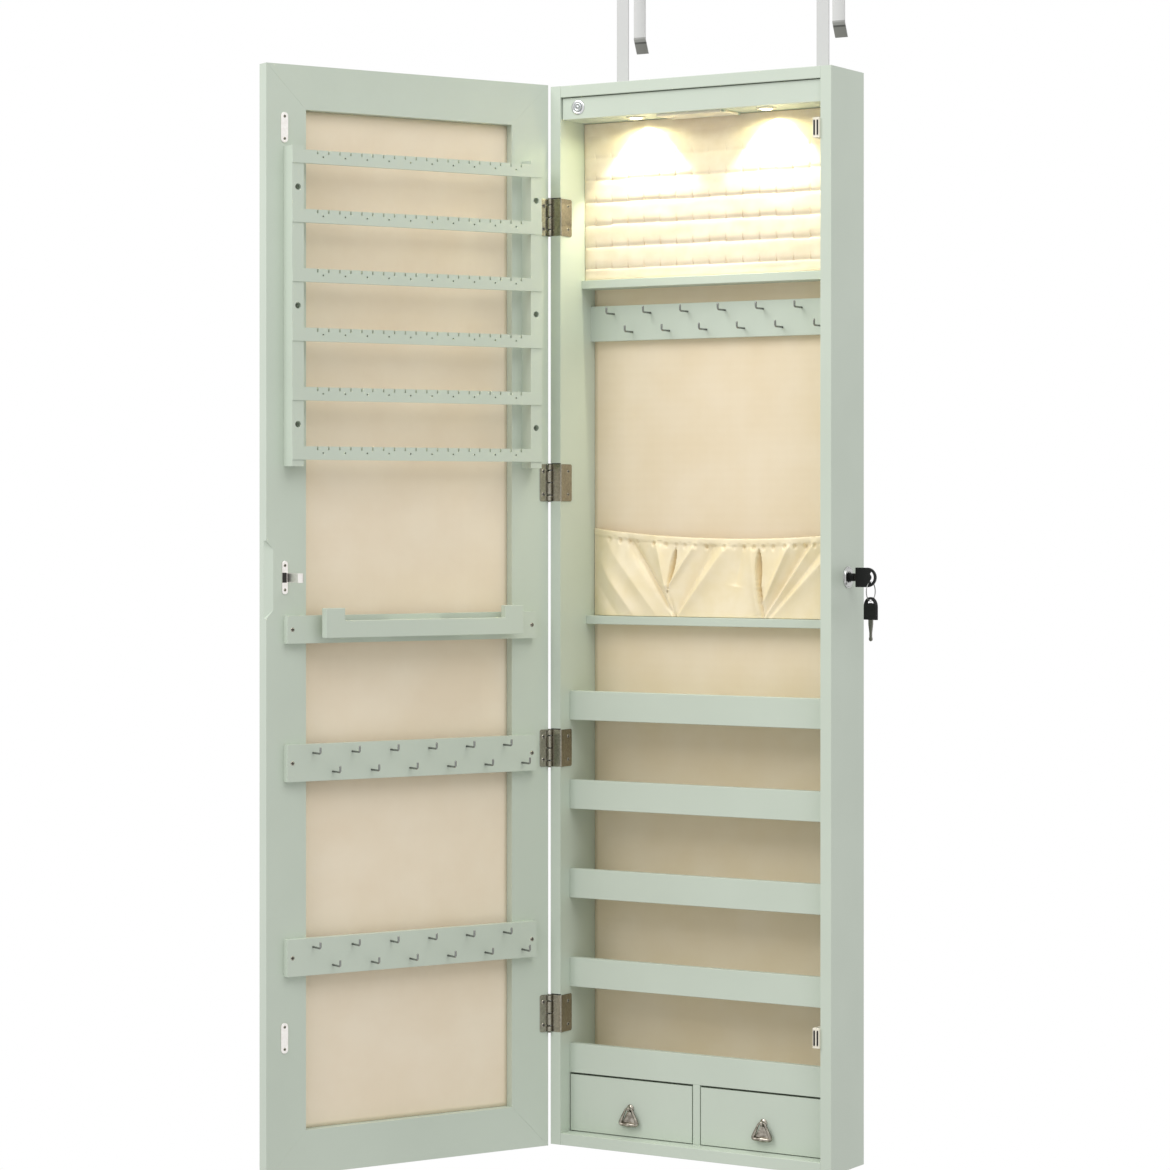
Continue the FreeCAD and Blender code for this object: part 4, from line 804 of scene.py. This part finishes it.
case_halves, door_halves, pin_heads, shadows = [], [], [], []
leaf_fold = [(0.2, -leaf_half), (0.8, -leaf_half), (1, -20.7), (1, 20.7), (0.8, leaf_half), (0.2, leaf_half)]
case_leaf = rounded_outline(0.9, case_leaf_reach, -leaf_half, leaf_half, 2.4, "12")
door_leaf = rounded_outline(2.3, door_leaf_reach, -leaf_half, leaf_half, 2.0, "12")
pin_head = [(1.2, -2), (1.2, 0), (pin_head_r, 0.1), (pin_head_r, 0.5), (1.6, 0.85), (0.2, 0.95)]
for z in hinge_heights:
    # The case's half wraps the board's front edge and lies along its inner wall.
    case_halves.append(rounded_block(0.2, 13.1, 0, leaf_t, z - leaf_half, z + leaf_half, 0.2))
    case_halves.append(lathe(leaf_fold, at(panel_t, leaf_t, z), up, 32))
    case_halves.append(plate_shape(case_leaf, None, leaf_t, 0.3,
                                   lambda p: at(panel_t + leaf_t / 2 + p.y, p.x, z + p.z)))
    door_halves.append(plate_shape(door_leaf, None, leaf_t, 0.3,
                                   lambda p: on_door(p.x, leaf_t / 2 + p.y, z + p.z)))
    for low, high in case_knuckles:
        case_halves.append(hinge_barrel(z, low, high))
        case_halves.append(rounded_block(0.2, 1.2, pin_y, 1, z + low + 0.2, z + high - 0.2, 0.2))
    for low, high in door_knuckles:
        door_halves.append(hinge_barrel(z, low, high))
        door_halves.append(rounded_block(0, 3, 0.02, 1, z + low + 0.2, z + high - 0.2, 0.2, on_door))
    # A dark cylinder inside the knuckles is painted shadow in their joints.
    shadows.append(lathe([(1.4, -20.8), (1.4, 20.8)], at(0, pin_y, z), up, 20))
    # The mortise is cut a little taller than the leaf, and a dark strip in the gap paints its shadow as a
    # dark line.
    shadows.append(rounded_block(0.4, 12.9, 0.12, 0.95, z + 21.05, z + 22.1, 0.1))
    for way in (1, -1):
        pin_heads.append(lathe(pin_head, at(0, pin_y, z + way * leaf_half), up * way, 24))
for name, shapes, body, node in (("hinge_case_halves", case_halves, "case", "hinge_case_leaves"),
                                 ("hinge_door_halves", door_halves, "door", "hinge_door_leaves"),
                                 ("hinge_pin_heads", pin_heads, "case", "hinge_pins")):
    half = make_piece(name, gather(shapes), dull_nickel, body, False)
    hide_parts(node)
# The pin cylinders and mortise strips are painted shadow, in the recess shadow colour.
make_piece("hinge_joint_shadows", gather(shadows), recess_shadow, "case", False)


# ---- Case screws and lock nut ----
# Plated steel screws with domed, cross-recessed heads hold the hinge leaves, the catches and the
# hangers. A hexagon nut clamps the lock's barrel behind the right board.

catch_heights = (147.5, 1129.5)
catch_screw_rise, leaf_screw_rise = 13.5, 13
hanger_x, batten_screw_heights = 49.5, (1167.5, 1176.5)
lock_y, lock_z = 39.5, case_h / 2 + 46
lock_nut_t = 5
ear_t, ear_half = 2, 16                    # of the catches' screw plates


def screw_head(seat, outward, radius=2.4, tall=0.8):
    """A domed head on its seat, and its cross recess."""
    first, second = cross_axes(outward)
    rings, sides = 9, 32
    verts, cross = [], []
    for r in range(rings + 1):
        distance = radius * r / rings
        for s in range(sides):
            turn = 2 * math.pi * s / sides
            a, b = distance * math.cos(turn), distance * math.sin(turn)
            inside = min(abs(a), abs(b)) < radius * 0.22 and max(abs(a), abs(b)) < radius * 0.7
            height = tall * (0.1 if inside else 1 - (distance / radius) ** 3)
            cross.append(inside)
            verts.append(seat + (outward * height + first * a + second * b) / 1000)
    head, recess = [], []
    for r in range(rings):
        for s in range(sides):
            a, b = r * sides + s, r * sides + (s + 1) % sides
            face = (a, b, b + sides, a + sides)
            (recess if sum(cross[v] for v in face) >= 3 else head).append(face)
    return (verts, head), (verts, recess)


def add_screws(name, node, body, screws, extra=()):
    """Heads of a set of screws, and their cross recesses in painted shadow, as two pieces."""
    heads = make_piece(name, gather([head for head, recess in screws] + list(extra)),
                       dull_nickel, body)
    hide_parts(node)
    make_piece(name + "_recess_shadows", gather([recess for head, recess in screws]),
               recess_shadow, body, False)


case_screws = [screw_head(at(panel_t + leaf_t, 15, z + rise), right)
               for z in hinge_heights for rise in (-leaf_screw_rise, leaf_screw_rise)]
case_screws += [screw_head(at(inner_right - ear_t, 14, z + rise), -right, 2.2)
                for z in catch_heights for rise in (-catch_screw_rise, catch_screw_rise)]
case_screws += [screw_head(at(x, case_d - 0.5, z), -front, 2.3, 0.4)
                for x in (hanger_x, case_w - hanger_x) for z in batten_screw_heights]
nut = [(8.5, 0), (11.4, 0), (12, 0.6), (12, 4.4), (11.4, lock_nut_t), (8.5, lock_nut_t)]
lock_nut = lathe(nut, at(inner_right - lock_nut_t, lock_y, lock_z), right, 6)
add_screws("case_screw_heads", "case_fasteners", "case", case_screws, [lock_nut])


# ---- Magnetic catches ----
# Two moulded cream housings screwed to the right board, each with two steel poles and a magnet
# between them that hold the strikes on the door.

catch_left = inner_right - 8
catch_front, catch_back, catch_half = -3.2, 30, 11
solid_y = 17                               # the housing is solid from here back
pole_front, pole_l, pole_t, pole_half = catch_front - 0.9, 20, 1.2, 8
walls = ((0, 1.3, 0.5), (2.9, 5.1, 0.4), (6.7, 8, 0.5))   # from, to, and how rounded

# Blackened steel: nearly black and matt, so that the poles show as two dark lines.
dark_steel = new_finish("blackened_steel_pole", "#15110F", 0.6)
grain_bump(dark_steel, 0.6, 0.02, 0.4)
housings, poles = [], []
for z in catch_heights:
    for start, end, edge_mm in walls:
        housings.append(rounded_block(catch_left + start, catch_left + end, catch_front, catch_back,
                                      z - catch_half, z + catch_half, edge_mm))
    for low, high in ((z - catch_half, z - 8.2), (z + 8.2, z + catch_half)):
        housings.append(rounded_block(catch_left + 0.2, inner_right - 0.1,
                                      catch_front + 0.1, catch_back - 0.1, low, high, 0.4))
    housings.append(rounded_block(catch_left + 0.2, inner_right - 0.1, solid_y, catch_back - 0.1,
                                  z - catch_half + 0.1, z + catch_half - 0.1, 0.4))
    housings.append(rounded_block(inner_right - ear_t, inner_right, 8, 20, z - ear_half, z + ear_half, 0.5))
    for x in (catch_left + 1.4, catch_left + 5.4):
        poles.append(rounded_block(x, x + pole_t, pole_front, pole_front + pole_l,
                                   z - pole_half, z + pole_half, 0.25))
catches = make_piece("catch_housings", gather(housings), cream_abs, "case", False)
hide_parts("magnetic_catches")
make_piece("catch_poles", gather(poles), dark_steel, "case", False)


# ---- Lock and keys ----
# A chromed cam lock through the right board. The key stays in it, with a flat black plastic head,
# and a spare hangs under it from a split ring of sprung wire.

key_head_l, key_head_half, key_slot_r = 24.7, 10.6, 6.1
head_middle = key_head_l - key_head_half
blade_half, neck_half, tip_r = 3.5, 1.7, 2.6
slot_angle = math.radians(50)
ring_r = 10.5
key_stand_out = 9.7                        # from the board to where the key's head begins
spare_turn = math.radians(-25)             # the spare hangs swung a little round

soften_edges(("lock_cam",), dull_nickel, 0.2)
soften_edges(("lock_plug",), black_abs, 0.3)
# Chrome over polished cast zinc: a bright mirror, a little wavy on the turned rings.
lock_chrome = new_finish("chromed_zinc_lock", "#B9BAB8", 0.12, 1.0)
grain_bump(lock_chrome, 1.5, 0.01, 0.25)
flange = [(8.5, -13), (8.5, 0), (11.7, 0), (11.85, 0.5), (11.6, 1.2), (10.9, 1.5), (10.6, 0.7), (10.2, 0.7),
          (9.9, 1.7), (9.0, 2.3), (8.0, 2.5), (6.8, 2.3), (6.2, 1.4), (5.9, 0.3), (5.08, 0.2), (5.08, -18),
          (8.5, -18)]
lock_rim = make_piece("lock_rim", lathe(flange, at(case_w, lock_y, lock_z), right, 56, capped=False),
                      lock_chrome, "case")
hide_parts("lock_barrel")


def arc_points(centre, radius, start, end, steps):
    """Points of an arc between two angles in degrees, round a centre on the key's middle line."""
    angles = [math.radians(start + (end - start) * k / steps) for k in range(steps + 1)]
    return [(centre + radius * math.cos(angle), radius * math.sin(angle)) for angle in angles]


head_outline = [(0.3, -key_head_half), (0, -10.3), (0, 10.3), (0.3, key_head_half)] \
    + arc_points(head_middle, key_head_half, 90, -90, 24)
slot_outline = arc_points(head_middle, 8.0, -56, 56, 12) + arc_points(head_middle, 4.3, 56, -56, 12)
blade_outline = [(0.2, -blade_half), (-4.6, -blade_half), (-14.4, -neck_half), (-18.6, -neck_half)] \
    + arc_points(-20.6, tip_r, -40, -320, 10) \
    + [(-18.6, neck_half), (-14.4, neck_half), (-4.6, blade_half), (0.2, blade_half)]
main_place = at(case_w + key_stand_out, lock_y, lock_z)
ring_top = main_place + Vector((head_middle + key_slot_r * math.cos(slot_angle), 0,
                                -key_slot_r * math.sin(slot_angle))) / 1000
ring_centre = ring_top - up * ring_r / 1000
spare_middle = ring_top - up * (2 * ring_r + key_slot_r) / 1000


def on_main_key(point):
    """The key in the lock, its blade inside and its head upright."""
    return main_place + point / 1000


def on_spare_key(point):
    """The key turned blade down, hanging by its slot and swung a little round."""
    hung = Vector((-point.z, point.y, point.x - head_middle)) / 1000
    return spare_middle + Matrix.Rotation(spare_turn, 3, "Z") @ hung


# Stamped steel, nickel washed: grey, with blurred highlights along its edges.
steel_blade = new_finish("stamped_key_steel", "#7B7972", 0.33, 1.0)
grain_bump(steel_blade, 0.8, 0.03, 0.5)
for name, place, body in (("main_key", on_main_key, "lock_core"), ("spare_key", on_spare_key, "spare_key")):
    head = make_piece(name + "_head", plate_shape(head_outline, slot_outline, 3.6, 0.7, place),
                      black_abs, body, False)
    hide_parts(name)
    make_piece(name + "_blade", plate_shape(blade_outline, None, 1.6, 0.2, place),
               steel_blade, body, False)

# The split ring: two turns of wire side by side, a little thinner at the wire's two ends
coil, coil_radii = [], []
for k in range(97):
    turn = 4 * math.pi * k / 96 + 2.2
    side = 0.38 * (k / 48 - 1)
    coil.append(ring_centre + Vector((side, ring_r * math.sin(turn), ring_r * math.cos(turn))) / 1000)
    coil_radii.append(0.42 if 1 < k < 95 else 0.3)
split_ring = make_piece("split_ring_coil", sweep(coil, coil_radii, 8), hook_wire_painted_dark, "key_ring")
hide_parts("split_ring")


# ---- Over-door hangers ----
# Two straps bent from 2 mm steel, coated light grey, screwed to the batten behind the light box.
# Their tails are cut square and flare away from the door.

# Powder coat on bent steel: an even light grey with a fine orange peel.
strap_coat_and_tail_shade = new_finish("light_grey_powder_coat_and_tail_shade", "#C6C6C5", 0.4, sockets={"IOR": 1.5})
grain_bump(strap_coat_and_tail_shade, 1.1, 0.03, 0.5)
# The flared tail is painted darker grey as painted shade, with a thick dark painted shadow line and a paler
# band above it.
# Only what lies further back than the straps, in metres of the frame, is banded by its height.
tail_y, tail_low, tail_high = 0.030, 0.640, 0.680
tail_shade_bands = ((0.0, "#83837F"), (0.42, "#565653"), (0.47, "#9C9C99"), (0.60, "#CFCFCE"))
tree = strap_coat_and_tail_shade.node_tree
place = add_node(tree, "TexCoord")
axes = add_node(tree, "SeparateXYZ", links={0: place.outputs["Object"]})
behind = add_node(tree, "Math", {1: tail_y}, {0: axes.outputs["Y"]}, operation="GREATER_THAN")
height = add_node(tree, "MapRange", {"From Min": tail_low, "From Max": tail_high},
                  {"Value": axes.outputs["Z"]})
bands = add_node(tree, "ValToRGB", links={"Fac": height.outputs[0]})
bands.color_ramp.interpolation = "CONSTANT"
stops = bands.color_ramp.elements
stops[0].color = hex_colour(tail_shade_bands[0][1])
stops[1].position = tail_shade_bands[-1][0]
stops[1].color = hex_colour(tail_shade_bands[-1][1])
for share, tone in tail_shade_bands[1:-1]:
    stops.new(share).color = hex_colour(tone)
coat = add_node(tree, "Mix", {"A": hex_colour("#C6C6C5")},
                {"Factor": behind.outputs[0], "B": bands.outputs[0]}, data_type="RGBA")
tree.links.new(coat.outputs["Result"], tree.nodes["Principled BSDF"].inputs["Base Color"])
soften_edges(("hanger_left", "hanger_right"), strap_coat_and_tail_shade, 0.35)


# ---- Door frame, mirror and lined board ----
# Four mitred fibreboard members, painted like the case, hold a mirror from outside and behind it
# a thin board whose inner face is covered with flannel. A bevelled finger pull is cut in one edge.

door_foot_z, door_h = -2.0, case_h + 4
member_w = 48.0
cloth_face_p = -10.75
door_out = on_door(0, 1000, 0) - on_door(0, 0, 0)

soften_edges(("door_stile_hinge", "door_stile_free", "door_rail_top", "door_rail_bottom"), lacquer, 0.25)
# Float glass silvered behind: a perfect reflection with a faint green in the glass.
silvered = new_finish("silvered_float_glass", "#E6ECE9", 0.02, 1.0)
mottle(silvered, ("#E4EBE7", "#E8EEEB"), 300)
soften_edges(("door_mirror",), silvered, 0.3)
soften_edges(("door_lined_board",), hardboard, 0.2)
door_flannel = make_flannel("beige_door_flannel", -door_turn, ("#EFDFC6", "#F3E5CE"))


def door_cloth_point(i, j):
    """The cloth fills the frame's opening but for 0.15 mm all round."""
    u = member_w + 0.15 + (case_w - 2 * member_w - 0.3) * i
    z = door_foot_z + member_w + 0.15 + (door_h - 2 * member_w - 0.3) * j
    return on_door(u, cloth_face_p + 0.1 * ripple(u, z, 42, 9.4), z)


door_cloth = make_piece("door_lining_cloth", cloth_grid(door_cloth_point, 52, 220),
                        door_flannel, "door")
door_cloth.modifiers.new("cloth", "SOLIDIFY").thickness = 0.0002
door_cloth.modifiers["cloth"].offset = 1


# ---- Earring rack ----
# Two painted posts carry six thin rails, let in flush. Each rail is notched in pairs with an eye
# under each pair, for hooks and studs.

soften_edges(("earring_stiles", "earring_rails"), lacquer, 0.3)


# ---- Bracelet bar and hook strips ----
# A board and a spacer hold the bar clear of the door, with an upstand at each end. Two boards
# below carry twelve hooks each, bent from the same nickel-plated wire as the necklace hooks.

strip_heights, strip_h, board_t = (214.3, 424.0), 40.0, 9.0
first_strip_hook, strip_pitch = 40.0, 48.0

soften_edges(("bracelet_board", "bracelet_bar", "hook_strips"), lacquer, 0.5)
roots = [on_door(first_strip_hook + strip_pitch * k + shift, board_t - hook_root, z + strip_h / 2 + rise)
         for z in strip_heights for shift, rise in ((0, -hook_row_rise), (strip_pitch / 2, hook_row_rise))
         for k in range(6)]
strip_hooks = make_piece("strip_hook_wires", gather([hook_shape(root, door_out) for root in roots]),
                         hook_wire_painted_dark, "door")
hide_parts("strip_hooks")


# ---- Strikes and door screws ----
# Two plain steel strikes meet the magnets, and a folded plate with a bent tongue meets the lock.
# Their screws, and those of the boards, are domed with a cross recess.

strike_middle, strike_w, strike_h, strike_t = inner_right - 8.7, 8.7, 33.0, 1
tongue_left, tongue_t, tongue_lip, tongue_out, tongue_h = inner_right - 12.6, 1.2, 5, 37, 10
lock_plate_w, lock_plate_h = 7.0, 36.0
bracelet_middle_z = lock_z - 56
board_screw_u, rack_screw_u = 27, 28
rack_screw_z, rack_screw_pitch = case_h - 131.7, 127.6
tongue_low, tongue_high = lock_z - tongue_h / 2, lock_z + tongue_h / 2

# Bright zinc plate on pressed steel: a pale, slightly clouded grey that mirrors softly.
plated = new_finish("zinc_plated_strike", "#ECE9E4", 0.34, 1.0)
mottle(plated, ("#E8E4DF", "#F0EDE9"), 3)
grain_bump(plated, 0.9, 0.02, 0.4)
shapes = []
for z in catch_heights:
    strike = rounded_outline(strike_middle - strike_w / 2, strike_middle + strike_w / 2,
                             z - strike_h / 2, z + strike_h / 2, 4.2)
    shapes.append(plate_shape(strike, None, strike_t, 0.3, lambda p: on_door(p.x, 0.5 + p.y, p.z)))
lock_plate = rounded_outline(tongue_left, tongue_left + lock_plate_w,
                             lock_z - lock_plate_h / 2, lock_z + lock_plate_h / 2, 3.2)
shapes.append(plate_shape(lock_plate, None, tongue_t, 0.3, lambda p: on_door(p.x, 0.6 + p.y, p.z)))
shapes.append(rounded_block(tongue_left, tongue_left + tongue_t, 0.2, tongue_out,
                            tongue_low, tongue_high, 0.3, on_door))
shapes.append(rounded_block(tongue_left, tongue_left + tongue_t + tongue_lip,
                            tongue_out - tongue_t, tongue_out, tongue_low, tongue_high, 0.3, on_door))
strikes = make_piece("strike_plates", gather(shapes), plated, "door", False)
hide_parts("door_strikes")
# The tongue is folded out of the lock plate, which leaves a window in it; a dark block in the window is
# painted shade.
window = rounded_block(tongue_left + 1.5, tongue_left + lock_plate_w - 0.1, 0.9, 1.28,
                       tongue_low - 0.4, tongue_high + 0.4, 0.1, on_door)
make_piece("lock_plate_window_shadow", window, recess_shadow, "door", False)

# Seats of the screws: u, p and z on the door, and the head's radius
seats = [(7, leaf_t, z + rise, 2.4) for z in hinge_heights for rise in (-leaf_screw_rise, leaf_screw_rise)]
seats += [(strike_middle, strike_t, z + rise, 1.7) for z in catch_heights for rise in (-12, 12)]
seats += [(334.1, tongue_t, lock_z + rise, 1.7) for rise in (-13.2, 13.2)]
seats += [(u, board_t, z, 2.4)
          for z in (bracelet_middle_z, strip_heights[0] + strip_h / 2, strip_heights[1] + strip_h / 2)
          for u in (board_screw_u, case_w - board_screw_u)]
seats += [(u, 12, rack_screw_z - rack_screw_pitch * k, 2.4)
          for u in (rack_screw_u, case_w - rack_screw_u) for k in range(3)]
add_screws("door_screw_heads", "door_screws", "door",
           [screw_head(on_door(u, p, z), door_out, radius) for u, p, z, radius in seats])
